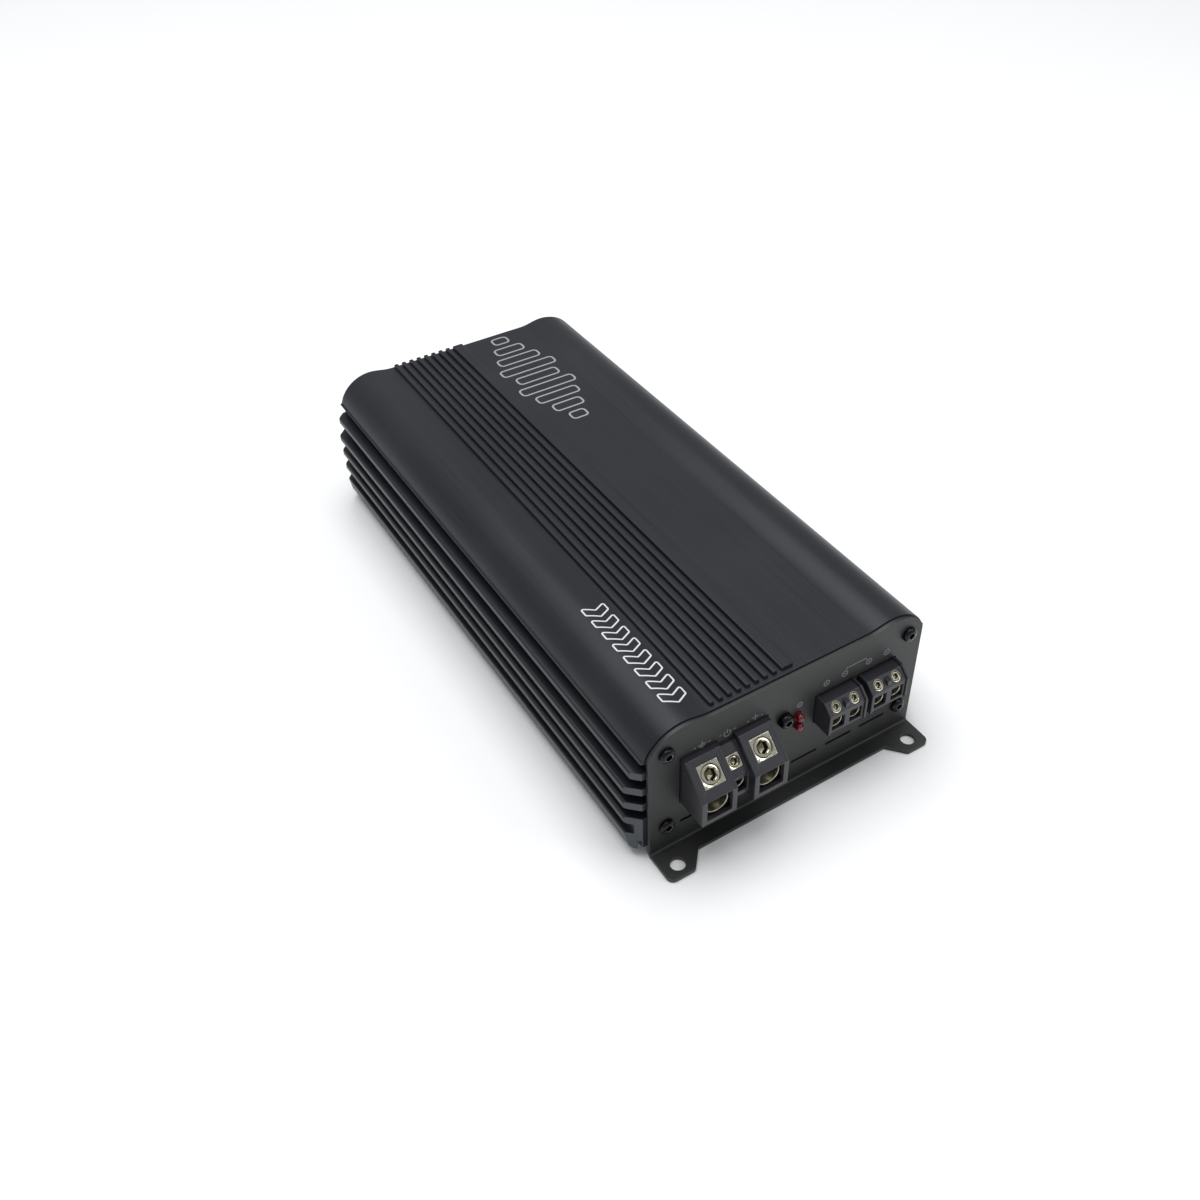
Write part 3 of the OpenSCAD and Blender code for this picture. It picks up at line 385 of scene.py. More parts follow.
def finish(name, colour, other, grain, mix, rough, bump, wear=None, **shader):
    """A surface whose two colours, roughness range and relief follow one noise.

    grain is the noise's size in mm, or one size for each axis: a long Y makes streaks along the
    case. mix is the width of the blend between the colours, and bump the relief's height in mm. wear
    is (colour, size in mm, amount) for broad patches, such as handling marks.
    """
    m = bpy.data.materials.new(name)
    m.use_nodes = True
    t = m.node_tree
    t.nodes.clear()
    where = add(t, "ShaderNodeTexCoord").outputs["Object"]
    fine = add(t, "ShaderNodeMapping", {"Vector": where, "Scale": 1 / (np.full(3, grain) * MM)})
    noise = add(t, "ShaderNodeTexNoise", {"Vector": fine.outputs["Vector"], "Scale": 1.0, "Detail": 3.0,
                                          "Roughness": 0.55}).outputs["Fac"]
    ramp = add(t, "ShaderNodeMapRange", {"Value": noise, "From Min": 0.5 - mix / 2,
                                         "From Max": 0.5 + mix / 2})
    base = add(t, "ShaderNodeMix", {0: ramp.outputs["Result"], 6: paint(colour), 7: paint(other)},
               data_type="RGBA").outputs[2]  # sockets 0, 6 and 7 are the amount and the colours
    if wear:
        broad = add(t, "ShaderNodeMapping", {"Vector": where, "Scale": [1 / (wear[1] * MM)] * 3})
        patch = add(t, "ShaderNodeTexNoise", {"Vector": broad.outputs["Vector"], "Scale": 1.0, "Detail": 2.0})
        amount = add(t, "ShaderNodeMapRange", {"Value": patch.outputs["Fac"], "From Min": 0.42,
                                               "From Max": 0.7, "To Max": wear[2]})
        base = add(t, "ShaderNodeMix", {0: amount.outputs["Result"], 6: base, 7: paint(wear[0])},
                   data_type="RGBA").outputs[2]
    gloss = add(t, "ShaderNodeMapRange", {"Value": noise, "From Min": 0.3, "From Max": 0.7,
                                          "To Min": rough[0], "To Max": rough[1]}).outputs["Result"]
    shader = {k.replace("_", " ").title().replace("Ior", "IOR"): v for k, v in shader.items()}
    surface = add(t, "ShaderNodeBsdfPrincipled", {"Base Color": base, "Roughness": gloss, **shader})
    if bump:
        relief = add(t, "ShaderNodeBump", {"Height": noise, "Strength": 1.0, "Distance": bump * MM})
        t.links.new(relief.outputs["Normal"], surface.inputs["Normal"])
    t.links.new(surface.outputs["BSDF"], add(t, "ShaderNodeOutputMaterial").inputs["Surface"])
    return m


# Black anodised aluminium, extruded: a deep satin black with faint streaks along the die's draw,
# drawn half a millimetre wide, coarser than real ones, so that they show.
anodised = finish("black_anodised_aluminium", "#1a1c21", "#212328", (0.5, 70, 0.5), 0.5, (0.34, 0.44),
                  0.004, ("#2b2c2e", 55, 0.35), metallic=0.1, specular_ior_level=0.31)
# The same metal where a cutter has trimmed the fins after anodising: greyer, with fine tool marks.
milled = finish("milled_aluminium_dyed", "#3c4043", "#4a4e50", (8, 8, 0.35), 0.5, (0.32, 0.45), 0.006,
                metallic=0.6)
# Polyester powder coat on steel: satin black with orange peel about half a millimetre across.
powder = finish("powder_coated_steel", "#212222", "#262727", 0.6, 0.6, (0.42, 0.52), 0.012,
                ("#33322f", 40, 0.4))
# Black zinc on the case screws: darker and a little glossier than the coat round them.
black_zinc = finish("black_zinc_steel", "#2b2b2d", "#1c1c1e", 0.5, 0.5, (0.12, 0.22), 0.006,
                    metallic=0.8)
# A lighter steel finish round those screws' sockets: a thin bright edge, painted in as the glint at the
# sockets' rims.
painted_glint_steel = finish("painted_glint_steel_edge", "#9b9c9f", "#6d6e72", 0.4, 0.5, (0.15, 0.3), 0.01,
                    metallic=1.0)
# Glass-filled nylon of the terminals: matt black with a spark-eroded texture.
nylon = finish("moulded_nylon", "#232328", "#2c2c32", 0.35, 0.6, (0.32, 0.43), 0.01, ior=1.53)
# Nickel-plated brass, tumbled bright: warm silver with soft dents that break up reflections.
nickel_brass = finish("nickel_plated_brass", "#dcdacd", "#b9b5a0", 1.6, 0.7, (0.10, 0.22), 0.04,
                      metallic=1.0)
# The same plating inside the wire holes, painted browner and darker as shade inside the hole.
bore_plating_painted_shade = finish("nickel_bore_painted_shade", "#cfccba", "#a29e8c", (1.2, 1.2, 4), 0.6, (0.3, 0.45), 0.01,
                         metallic=1.0)
# The same plating down in the screws' sockets, browner still: deeper painted shade.
socket_plating_painted_shade = finish("nickel_socket_painted_shade", "#a39c86", "#5f594a", 0.9, 0.6, (0.2, 0.36),
                           0.03, metallic=1.0)
# Epoxy of the indicator lamps: deep red, half clear, glossy.
red_epoxy = finish("red_lamp_epoxy", "#95102a", "#6c0a1e", 2, 0.5, (0.08, 0.14), 0.0, ior=1.52,
                   transmission_weight=0.35, coat_weight=0.4)
# Screen-printing inks, matt films with slightly uneven cover: white at the front of the top, a
# paler grey at its rear and a darker one on the panels.
white_ink = finish("white_print_ink", "#dfe0e0", "#c4c5c6", 0.3, 0.5, (0.5, 0.65), 0.004)
pale_ink = finish("pale_print_ink", "#a3a4a8", "#898a8e", 0.3, 0.5, (0.5, 0.65), 0.004)
grey_ink = finish("grey_print_ink", "#8a8b8f", "#707175", 0.3, 0.5, (0.5, 0.65), 0.004)
# Nickel on the signal jacks, turned and plated: bright and smooth.
nickel = finish("nickel_plated_sleeve", "#d6d6d2", "#bcbcb8", (0.8, 4, 0.8), 0.5, (0.1, 0.2), 0.004,
                metallic=1.0)
# Gold flash on stamped contacts: yellow and bright.
gold = finish("gold_flashed_contact", "#e2bd62", "#c89f45", 0.5, 0.5, (0.14, 0.24), 0.003,
              metallic=1.0)
# Acetal insulators inside the jacks, waxy, one off-white and one red as stereo jacks are marked.
acetal = finish("white_acetal", "#d6d0c2", "#c4beb0", 0.5, 0.5, (0.3, 0.4), 0.004, ior=1.48)
red_acetal = finish("red_acetal", "#9c1f1c", "#84191a", 0.5, 0.5, (0.3, 0.4), 0.004, ior=1.48)
# Moulded ABS of the knobs and the switch's slider: black with a fine satin grain.
abs_black = finish("moulded_abs", "#1d1d1f", "#242426", 0.4, 0.5, (0.3, 0.42), 0.006, ior=1.54)
# Zinc-plated, rolled steel of the bars, the bracket and the switch's frame: grey, with rolling lines.
zinc = finish("zinc_plated_steel", "#b4b8ba", "#969b9f", (0.6, 9, 0.6), 0.6, (0.22, 0.38), 0.006,
              metallic=1.0)
# Tinned copper of the leads and tails: soft silver, dulled by handling.
tin = finish("tinned_copper", "#c9c8c2", "#b2b1aa", (0.5, 0.5, 2), 0.5, (0.2, 0.34), 0.006, metallic=1.0)
# Solder mask over glass cloth: the weave shows faintly, about 0.6 mm a thread.
solder_mask = finish("green_solder_mask", "#0f4a28", "#155a32", 0.6, 0.5, (0.2, 0.3), 0.01,
                     coat_weight=0.3)
# Enamelled copper wire of 0.9 mm, laid side by side round the rings: glossy red-brown.
enamelled = finish("enamelled_copper", "#9c4a20", "#6e2f12", (0.9, 0.9, 7), 0.35, (0.2, 0.34), 0.05,
                   metallic=0.85)
# Pressed ferrite under a dip coat: dark grey-green and dull.
ferrite = finish("coated_ferrite", "#3c3f3d", "#4a4d4a", 0.6, 0.5, (0.4, 0.55), 0.02)
# Pressed iron powder, painted the yellow that marks its grade.
iron_powder = finish("painted_iron_powder", "#b79a2c", "#a4871e", 0.6, 0.5, (0.35, 0.5), 0.02)
# Shrunk film round the capacitors: blue-black, glossy, with slight ripples round the can.
sleeve_film = finish("shrink_sleeve", "#161a26", "#1d2230", (2, 2, 6), 0.5, (0.16, 0.26), 0.01,
                     coat_weight=0.3)
# Transfer-moulded epoxy of the chips and transistors: matt black.
epoxy = finish("moulded_epoxy", "#1c1c1e", "#26262a", 0.3, 0.5, (0.45, 0.6), 0.01)
# Silicone-filled glass cloth between transistors and case: grey and dead matt.
thermal_cloth = finish("silicone_glass_cloth", "#8b9196", "#767c82", 0.5, 0.5, (0.55, 0.7), 0.02)
# Moulded nylon of the control pots: the usual dark blue.
pot_nylon = finish("blue_pot_housing", "#1b3550", "#21405f", 0.5, 0.5, (0.3, 0.42), 0.01)

# ---- the case

case_high = span("heatsink_case")[1]
END_Y = case_high[1]  # half the extrusion's length
TIP_X = case_high[0]  # the fins' tips
PLATE_X = span("front_end_plate")[1][0]  # side of the end plates
FLAT_Z, SHOULDER_Z, LIP_Z = 55.2, 56.6, 46.2
CREASE_X, SHOULDER_R, WALL_X, INSIDE_X, LIP_X = 31.2, 15.6, 53.2, 50.6, 57.0
FIN_T, FIN_PITCH, FIN_Z, FOOT_Z, COVER_Z = 3.25, 7.35, 16.25, 11.6, 5.7
BOARD_TOP = 18.6  # top of the main board
RIM_IN = 0.7  # the end plates' rim, inside the case's outline
LIP_A = math.degrees(math.asin((LIP_Z - SHOULDER_Z + SHOULDER_R) / SHOULDER_R))
SHOULDER_X = LIP_X - 0.7 - SHOULDER_R * math.cos(math.radians(LIP_A))
TRIM_X = PLATE_X + 1.5  # outside this the ends are cut at 45 degrees


def rise(drop, n=14):
    """The S-shaped rise from the flat top to the shoulder: half a cosine wave, lowered by drop."""
    t = np.linspace(0, 1, n + 1)
    x = CREASE_X + (SHOULDER_X - CREASE_X) * t
    return np.c_[x, FLAT_Z - drop + (SHOULDER_Z - FLAT_Z) * (1 - np.cos(np.pi * t)) / 2]


def case_section():
    """Half the extrusion's outline with rounded corners, then its mirror image: an open-bottomed arch."""
    top = np.vstack([rise(0), arc(SHOULDER_X, SHOULDER_Z - SHOULDER_R, SHOULDER_R, 90, LIP_A, 22)[1:]])
    corners = [(*top[-1], 0), (LIP_X, LIP_Z, 0.13), (LIP_X, LIP_Z - 0.3, 0.13), (WALL_X, LIP_Z - 1.8, 0.5)]
    for i in (3, 2, 1, 0):
        tip = TIP_X - (1.5 if i == 3 else 0)
        z = FIN_Z + i * FIN_PITCH
        corners += [(WALL_X, z + FIN_T, 0.5), (tip, z + FIN_T, 0.9), (tip, z, 0.9), (WALL_X, z, 0.5)]
    corners[-1] = (TIP_X - 2.5, FIN_Z, 0.5)
    corners += [(TIP_X - 2.5, FOOT_Z, 0.3), (TIP_X, FOOT_Z, 0.5), (TIP_X - 1.3, 4.6, 0.4),
                (TIP_X - 1.9, 4.0, 0.3), (57.7, 4.0, 0.2), (57.7, 8.2, 0.2), (56.7, 8.2, 0.2),
                (56.7, COVER_Z, 0.1), (INSIDE_X, COVER_Z, 0.1)]
    corners += [(x, z, 0.2) for low in (15.25, 18.75)
                for x, z in ((INSIDE_X, low), (47.8, low), (47.8, low + 1.6), (INSIDE_X, low + 1.6))]
    corners += [(INSIDE_X, 45.0, 1.0), (INSIDE_X - 7, 52.0, 1.0), (0, 52.0, 0)]
    corners = np.array(corners, float)
    half = np.vstack([top, filleted(corners[:, :2], corners[:, 2], 4)])
    return apart(np.vstack([half, (half * [-1, 1])[::-1]]))


def trimmed(u, v, t):
    """Along y, with the ends cut back by as much as |x| passes the trim line: a 45 degree cut."""
    back = np.maximum(np.abs(u) - TRIM_X, 0)
    return np.stack([u, t - np.sign(t) * back * np.minimum(1, np.abs(t) / (END_Y - 2)), v], -1)


RIB_X, RIB_W, RIB_PITCH, RIB_TOP = -30.63, 1.8, 3.46, FLAT_Z + 1.4
WIDE_RIB = (-2.95, 4.6)  # its left side and its width


def ribs():
    """The top's ribs: eight narrow ones at one pitch, then a wide one, with rounded shoulders."""
    for x, w in [(RIB_X + RIB_PITCH * i, RIB_W) for i in range(8)] + [WIDE_RIB]:
        section = rounded(x, x + w, FLAT_Z - 0.6, RIB_TOP, [0, 0, 0.4, 0.4], 4)
        yield slab([section], -END_Y + 1.7, END_Y - 0.2, 0.25, along_y)


case = slab([case_section()], -END_Y, END_Y, 0.15, trimmed, cuts=[(0, TRIM_X), (0, -TRIM_X)])
heatsink = piece("heatsink_shell", [case, *ribs()], anodised, ["heatsink_case"], record_slot="case_anodised")
# Faces whose normals lean both sideways and along the case are the cutter's 45 degree trims
heatsink.data.materials.append(milled)
bare = np.zeros(len(heatsink.data.polygons), np.int32)
normal = np.zeros(len(bare) * 3)
heatsink.data.polygons.foreach_get("normal", normal)
normal = normal.reshape(-1, 3)
bare[(np.abs(normal[:, 0]) > 0.6) & (np.abs(normal[:, 1]) > 0.6)] = 1
heatsink.data.polygons.foreach_set("material_index", bare)

# ---- end plates and bottom cover

BEND_R = 0.8  # inside radius of the flange bend
SCREW_X, SCREW_LOW, SCREW_TOP = 48.6, 12.9, 47.2
EAR_X, EAR_Y, EAR_R = PLATE_X - 5.9, -7.65, 2.6
SLIT_PITCH, SLIT_L, SLIT_LOW, SLIT_HIGH = 15, 11.3, 10.5, 11.7
CORNERS = [(side * SCREW_X, z) for side in (-1, 1) for z in (SCREW_LOW, SCREW_TOP)]
GAP = 0.3  # clearance of the end plates' openings


def mirrored(half):
    """A half outline from the middle outwards, and its mirror image."""
    return np.vstack([half, (half * [-1, 1])[::-1]])


def round_hole(x, z, r, n=40):
    """A circle of n points, without the last point of its arc, which lies on the first."""
    return arc(x, z, r, 0, 360, n)[:-1]


def plate_blank(holes):
    """The flat blank of an end plate in (x, s), s running up the plate from the bend's upper end.

    The fold line goes down the plate, round a quarter circle of BEND_R and out along the
    flange, so s is the height above the bend, then minus the length round and past it.
    """
    bend_z = PLATE_T + BEND_R
    r = SHOULDER_R - RIM_IN
    a = math.degrees(math.acos((PLATE_X - SHOULDER_X) / r))
    quarter = BEND_R * math.pi / 2
    out = -quarter + BEND_R  # add to a panel y to get s on the flange
    shoulder = arc(SHOULDER_X, SHOULDER_Z - SHOULDER_R, r, 90, a, 20)
    upper = np.vstack([rise(RIM_IN), shoulder[1:]]) - [0, bend_z]
    ear = np.vstack([arc(PLATE_X - 2.5, -10.0, 2.5, 0, -90, 8), arc(46.05, -11.0, 1.5, -90, -135, 4),
                     [[39.775, -6.0]]]) + [0, out]
    outline = mirrored(np.vstack([upper, ear]))
    holes = [q - [0, bend_z] for q in holes]
    holes += [round_hole(side * EAR_X, EAR_Y + out, EAR_R) for side in (-1, 1)]
    holes += [round_hole(x, z - bend_z, 1.7, 24) for x, z in CORNERS]
    holes += [rounded(x - SLIT_L / 2, x + SLIT_L / 2, SLIT_LOW, SLIT_HIGH, 0.58, 4) - [0, bend_z]
              for x in SLIT_PITCH * np.arange(-2.5, 3)]
    turn = np.linspace(0, math.pi / 2, 9)
    y = np.r_[0, -BEND_R + BEND_R * np.cos(turn), -20]
    z = np.r_[60, bend_z - BEND_R * np.sin(turn), PLATE_T]
    s = np.r_[60 - bend_z, -BEND_R * turn, -quarter - (20 - BEND_R)]
    ny = np.r_[1, np.cos(turn), 0]
    nz = np.r_[0, -np.sin(turn), -1]
    fold = place_on([q[::-1] for q in (s, y, z, ny, nz)])
    cuts = [(1, -BEND_R * q) for q in turn]
    return slab([outline, *holes], 0, PLATE_T, 0.18, fold, cuts, 2)


power_low, power_high = span("power_terminal_housing")
POWER_X = (power_low[0], power_high[0])
POLE_W, REMOTE_W = 13.4, 6.7  # widths of a large pole and of the thin one between
terminal_hole = filleted([(POWER_X[0] - GAP, 20.5), (POWER_X[1] + GAP, 20.5), (POWER_X[1] + GAP, 41.8),
                          (POWER_X[1] - POLE_W - GAP, 41.8), (POWER_X[1] - POLE_W - GAP, 39.7),
                          (POWER_X[0] + POLE_W + GAP, 39.7), (POWER_X[0] + POLE_W + GAP, 41.8),
                          (POWER_X[0] - GAP, 41.8)], 0.2, 2)
speakers = [(span(n)[0][0], span(n)[1][0]) for n in ("speaker_housing_left", "speaker_housing_right")]
led_low, led_high = span("power_led")
LED_X = (led_low[0] + led_high[0]) / 2
LED_Z = (34.2, 29.8)
anchor_low, anchor_high = span("anchor_screw")
ANCHOR_X, _, ANCHOR_Z = (anchor_low + anchor_high) / 2

front_holes = [terminal_hole] + [rounded(a - GAP, b + GAP, 26.1, 39.1, 0.3, 3) for a, b in speakers]
front_holes += [round_hole(LED_X, z, 1.6, 28) for z in LED_Z] + [round_hole(ANCHOR_X, ANCHOR_Z, 1.7, 24)]
piece("front_panel", [plate_blank(front_holes)], powder, ["front_end_plate"], panel=front,
      record_slot="sheet_black")

JACK_X, CONTROL_Z, KNOB_X = (-38.0, -24.0), 28.0, 17.6 + 8.6 * np.arange(4)
SWITCH = (5, 11, 26.2, 29.8)  # the slider's opening: x from and to, z from and to
port_low, port_high = span("remote_port")
PORT = (-port_high[0], -port_low[0])
rear_holes = [round_hole(x, CONTROL_Z, 5.85, 44) for x in JACK_X]
rear_holes += [rounded(PORT[0] - GAP, PORT[1] + GAP, 21.2, 34.8, 0.3, 3)]
rear_holes += [rounded(SWITCH[0] - GAP, SWITCH[1] + GAP, *SWITCH[2:], 0.3, 3)]
rear_holes += [round_hole(x, CONTROL_Z, 3.3) for x in KNOB_X]
piece("rear_panel", [plate_blank(rear_holes)], powder, ["rear_end_plate"], panel=rear,
      record_slot="sheet_black")

cover_low, cover_high = span("bottom_cover")
cover_loops = [rounded(cover_low[0], cover_high[0], cover_low[1], cover_high[1], 1.0, 5)]
cover_loops += [rounded(x - 1.5, x + 1.5, y - 13, y + 13, 1.48, 5) for x in range(-24, 25, 8)
                for y in (-54, 0, 54)]
COVER_SCREWS = [(side * 53.6, y) for side in (-1, 1) for y in (-105, 0, 105)]
cover_loops += [round_hole(x, y, 2.95, 28) for x, y in COVER_SCREWS]
piece("underside_cover", [slab(cover_loops, cover_low[2], cover_high[2], 0.2, upright, steps=2)], powder,
      ["bottom_cover"], record_slot="sheet_black")

# ---- screws

def button_screw(x, z, head=1.9):
    """A button head: a quarter-ellipse dome round a hexagon socket, its shank and the socket's edge."""
    r, s = 2.8, 1.15  # radius of the head, and half the socket's flats
    a = np.radians(np.linspace(0, 90, 9))
    dome = np.c_[s + 0.15 + (r - s - 0.15) * np.sin(a), head * (0.35 + 0.65 * np.cos(a))]
    profile = np.vstack([[(0, head - 1.3), (s * 0.55, head - 1.35), (s, head - 1.15), (s, head - 0.12)], dome,
                         [(r, 0.15), (r - 0.15, 0.0), (1.5, 0.0), (1.5, -3.0), (0, -3.0)]])
    six = np.zeros(len(profile))
    six[1:4] = 0.6, 1, 1
    # The socket's edge is a thin ring of its own that takes the lighter steel: a painted glint.
    edge = [(s - 0.01, head - 0.25), (s - 0.01, head - 0.11), (s + 0.1, head + 0.01), (s + 0.18, head + 0.01),
            (s + 0.12, head - 0.25), (s - 0.01, head - 0.25)]
    place = outward(x, z)
    return [turned(profile, place, 48, six), turned(edge, place, 48, [1, 1, 0.8, 0.5, 1, 1])]


for name, places, node, panel in (("front_screws", CORNERS, "front_plate_screws", front),
                                  ("rear_screws", CORNERS, "rear_plate_screws", rear),
                                  ("middle_screw", [(ANCHOR_X, ANCHOR_Z, 2.7)], "anchor_screw", front)):
    piece(name, [q for c in places for q in button_screw(*c)], [black_zinc, painted_glint_steel] * len(places), [node],
          panel=panel, record_slot="screw_black")


def countersunk(x, y):
    """A flat head let into the cover, seen from below, with a hexagon socket."""
    profile = [(0, -0.85), (0.7, -0.9), (1.1, -0.75), (1.1, -0.1), (1.22, 0), (2.65, 0), (2.8, -0.12),
               (1.5, -1.3), (1.5, -4), (0, -4)]
    place = lambda u, v, t: np.stack([x + u, y - v, cover_low[2] - t], -1)
    return turned(profile, place, 36, [0, 0.6, 1, 1, 1, 0, 0, 0, 0, 0])


piece("cover_screws", [countersunk(*c) for c in COVER_SCREWS], black_zinc, ["bottom_cover_screws"],
      record_slot="screw_black")

# ---- terminals

def pole_cover(x0, x1, out, low, edge, top, back, openings, seats, wall):
    """The skin of one pole as a folded wall with holes, and a side wall at each edge.

    The blank (x, s) is folded along the pole's outline: underneath, up the front from low to
    edge, up the slope at the lean and back along the top. openings are (x, w, z0, z1) on the
    front; seats are outlines in (x, distance up the slope). The sides stand 0.06 mm proud.
    """
    y_top = -out + (top - edge) / math.tan(LEAN)
    corners = [(back, low), (-out, low), (-out, edge), (y_top, top), (back, top)]
    path = line(corners, [0.5, 0.45, 0.6])
    s, y, z = path[:3]
    front_at = np.flatnonzero(np.abs(y + out) < 1e-3)[0]
    slope_at = np.flatnonzero(np.abs((z - edge) * math.cos(LEAN) - (y + out) * math.sin(LEAN)) < 1e-3)[0]
    front_s = s[front_at] - z[front_at]
    slope_s = s[slope_at] - math.hypot(y[slope_at] + out, z[slope_at] - edge)
    loops = [box2(x0 + 0.6 * wall, x1 - 0.6 * wall, 0, s[-1])]
    loops += [rounded(x - w / 2, x + w / 2, z0, z1, 0.35, 3) + [0, front_s]
              for x, w, z0, z1 in openings]
    loops += [q + [0, slope_s] for q in seats]
    shells = [slab(loops, -wall, 0, 0.12, place_on(path), [(1, q) for q in s[1:-1]], 2)]
    side = drawn_in(filleted(corners, [0.3, 0.6, 0.55, 0.7, 0.3], 4), 0.06)
    return shells + [slab([side], x, x + wall, 0.3, along_x) for x in (x0, x1 - wall)]


def seat_centre(seat_y, out):
    """How far up the slope a seat's middle is, from the front edge."""
    return (seat_y + out) / math.cos(LEAN)


def rounded_square(w, radius, x=0.0, up=0.0):
    """A square of side w round (x, up) with rounded corners."""
    return rounded(x - w / 2, x + w / 2, up - w / 2, up + w / 2, radius, 3)


# How far a pole stands out of its panel, and how high its front edge is
POWER_OUT, POWER_EDGE = 12.3, 32
REMOTE_OUT, REMOTE_EDGE = 9.0, 31.9
SPK_OUT, SPK_EDGE = 7.3, 35.0
WIRE_Z, SPK_WIRE_Z = 27.3, 30.3  # heights of the wire holes
GROUND_X = POWER_X[0] + POLE_W / 2
REMOTE_X = POWER_X[0] + POLE_W + REMOTE_W / 2
PLUS_X = POWER_X[1] - POLE_W / 2
# The seats' middles (depth, height) on the slopes
POWER_SEAT, REMOTE_SEAT, SPK_SEAT = [(y, edge + (out + y) * math.tan(LEAN)) for y, out, edge in (
    (-6.9, POWER_OUT, POWER_EDGE), (-5.4, REMOTE_OUT, REMOTE_EDGE), (-5.6, SPK_OUT, SPK_EDGE))]
up_large, up_remote = seat_centre(POWER_SEAT[0], POWER_OUT), seat_centre(REMOTE_SEAT[0], REMOTE_OUT)
power_shells = []
for x in (GROUND_X, PLUS_X):
    power_shells += pole_cover(x - POLE_W / 2, x + POLE_W / 2, POWER_OUT, low=20.8, edge=POWER_EDGE, top=41.5,
                               back=13, openings=[(x, 9.5, 22.7, 31.6)],
                               seats=[rounded_square(8.1, 0.3, x, up_large)], wall=1.4)
power_shells += pole_cover(POWER_X[0] + POLE_W - 0.6, POWER_X[1] - POLE_W + 0.6, REMOTE_OUT, low=22,
                           edge=REMOTE_EDGE, top=39.4, back=13, openings=[(REMOTE_X, 5.4, 24.2, 30.4)],
                           seats=[rounded_square(5.0, 0.3, REMOTE_X, up_remote)], wall=1.2)
power_foot = rounded(POWER_X[0] + 1, POWER_X[1] - 1, 9.6, 13, 0.3)
power_shells.append(slab([power_foot], BOARD_TOP, 21.4, 0.2, upright))
# Dark floors behind the openings, so that no light comes through the block
for x0, x1, low, high in ((POWER_X[0] + 1, POWER_X[0] + POLE_W - 1, 21.4, 40),
                          (POWER_X[1] - POLE_W + 1, POWER_X[1] - 1, 21.4, 40),
                          (REMOTE_X - 3, REMOTE_X + 3, 22.6, 38)):
    power_shells.append(slab([rounded(x0, x1, low, high, 0.2)], 4.2, 5.2, 0.1, along_y, steps=1))
piece("power_terminal_block", power_shells, nylon, ["power_terminal_housing"], panel=front,
      record_slot="terminal_black")

SPEAKER_X = [c for a, b in speakers for c in ((a + b) / 2 - 3.81, (a + b) / 2 + 3.81)]
up_speaker = seat_centre(SPK_SEAT[0], SPK_OUT)
for i, (a, b) in enumerate(speakers):
    hand = ("left", "right")[i]
    xs = SPEAKER_X[2 * i:2 * i + 2]
    shells = pole_cover(a + 0.9, b - 0.9, SPK_OUT, low=26.4, edge=SPK_EDGE, top=38.2, back=12,
                        openings=[(x, 5.4, 27.75, 32.95) for x in xs],
                        seats=[round_hole(x, up_speaker, 2.0) for x in xs], wall=1.0)
    # Side walls that stand 0.6 mm in front of the poles, a web between them, a floor and a foot
    low, edge, top, nose = 26.4, 35.3, 38.8, -7.9
    side = filleted([(12, low), (nose, low), (nose, edge), (nose + (top - edge) / math.tan(LEAN), top),
                     (12, top)], [0.3, 0.5, 0.5, 0.6, 0.3], 4)
    shells += [slab([side], x, x + 1.0, 0.22, along_x) for x in (a, b - 1.0)]
    mid = (a + b) / 2
    web = rounded(mid - 0.9, mid + 0.9, 27, 37.6, 0.2)
    back = rounded(a + 0.6, b - 0.6, 27, 37.4, 0.2)
    foot = rounded(a + 1, b - 1, 9.6, 12, 0.3)
    shells += [slab([web], -7.0, 3.4, 0.15, along_y, steps=1), slab([back], 3.4, 4.4, 0.1, along_y, steps=1),
               slab([foot], BOARD_TOP, 27, 0.2, upright)]
    piece("speaker_terminal_" + hand, shells, nylon, ["speaker_housing_" + hand], panel=front,
          record_slot="terminal_black")


def wire_clamp(x, z, size, bore, nose, tail, seat, outline, hole, deep, reach, below=0.05):
    """A clamp: its rounded block, the wire hole's lining, the seat in the slope and the seat's thread.

    size is the block's width and height, nose and tail the depths of its ends. The lining's
    lip is a half circle standing 0.25 mm in front of the block. The thread is a wave of 0.5 mm
    pitch and 0.12 mm depth along the seat's hole, deep mm long. The hole is drilled on through
    the block's top into the wire hole, as far down as reach. The seat lies below the slope.
    """
    w, h = size
    block = [rounded(x - w / 2, x + w / 2, z - h / 2, z + h / 2, 0.5, 3),
             round_hole(x, z, bore + 0.2, 48)]
    lip = np.vstack([[(bore + 0.6, -nose - 0.9)], arc(bore + 0.3, -nose - 0.3, 0.3, 0, 180, 8),
                     [(bore, 1 - tail), (0, 1 - tail), (0, 0.6 - tail), (bore + 0.6, 0.6 - tail),
                      (bore + 0.6, -nose - 0.9)]])
    up = on_slope(x, *seat)
    t = np.linspace(0, 1, 41)
    wall = np.c_[hole + 0.06 * np.cos(2 * np.pi * t * deep / 0.5), -0.3 - t * (deep - 0.3)]
    thread = np.vstack([[(hole + 0.3, -0.4)], wall, [(hole + 0.3, -deep), (hole + 0.3, -0.4)]])
    drill = turned([(0, 0.5), (hole + 0.1, 0.5), (hole + 0.1, -deep), (hole - 0.02, -deep),
                    (hole - 0.02, -reach), (0, -reach)], up)
    shells = [drilled(slab(block, nose + 0.25, tail, 0.3, along_y, steps=2), drill),
              drilled(turned(lip, outward(x, z)), drill),
              slab([outline, round_hole(0, 0, hole + 0.1, 48)], -deep, -below, 0.12, up, steps=2),
              turned(thread, up)]
    # The lip takes the bore plating, darker and browner as painted shade inside the wire hole.
    return shells, [nickel_brass, bore_plating_painted_shade, nickel_brass, nickel_brass]


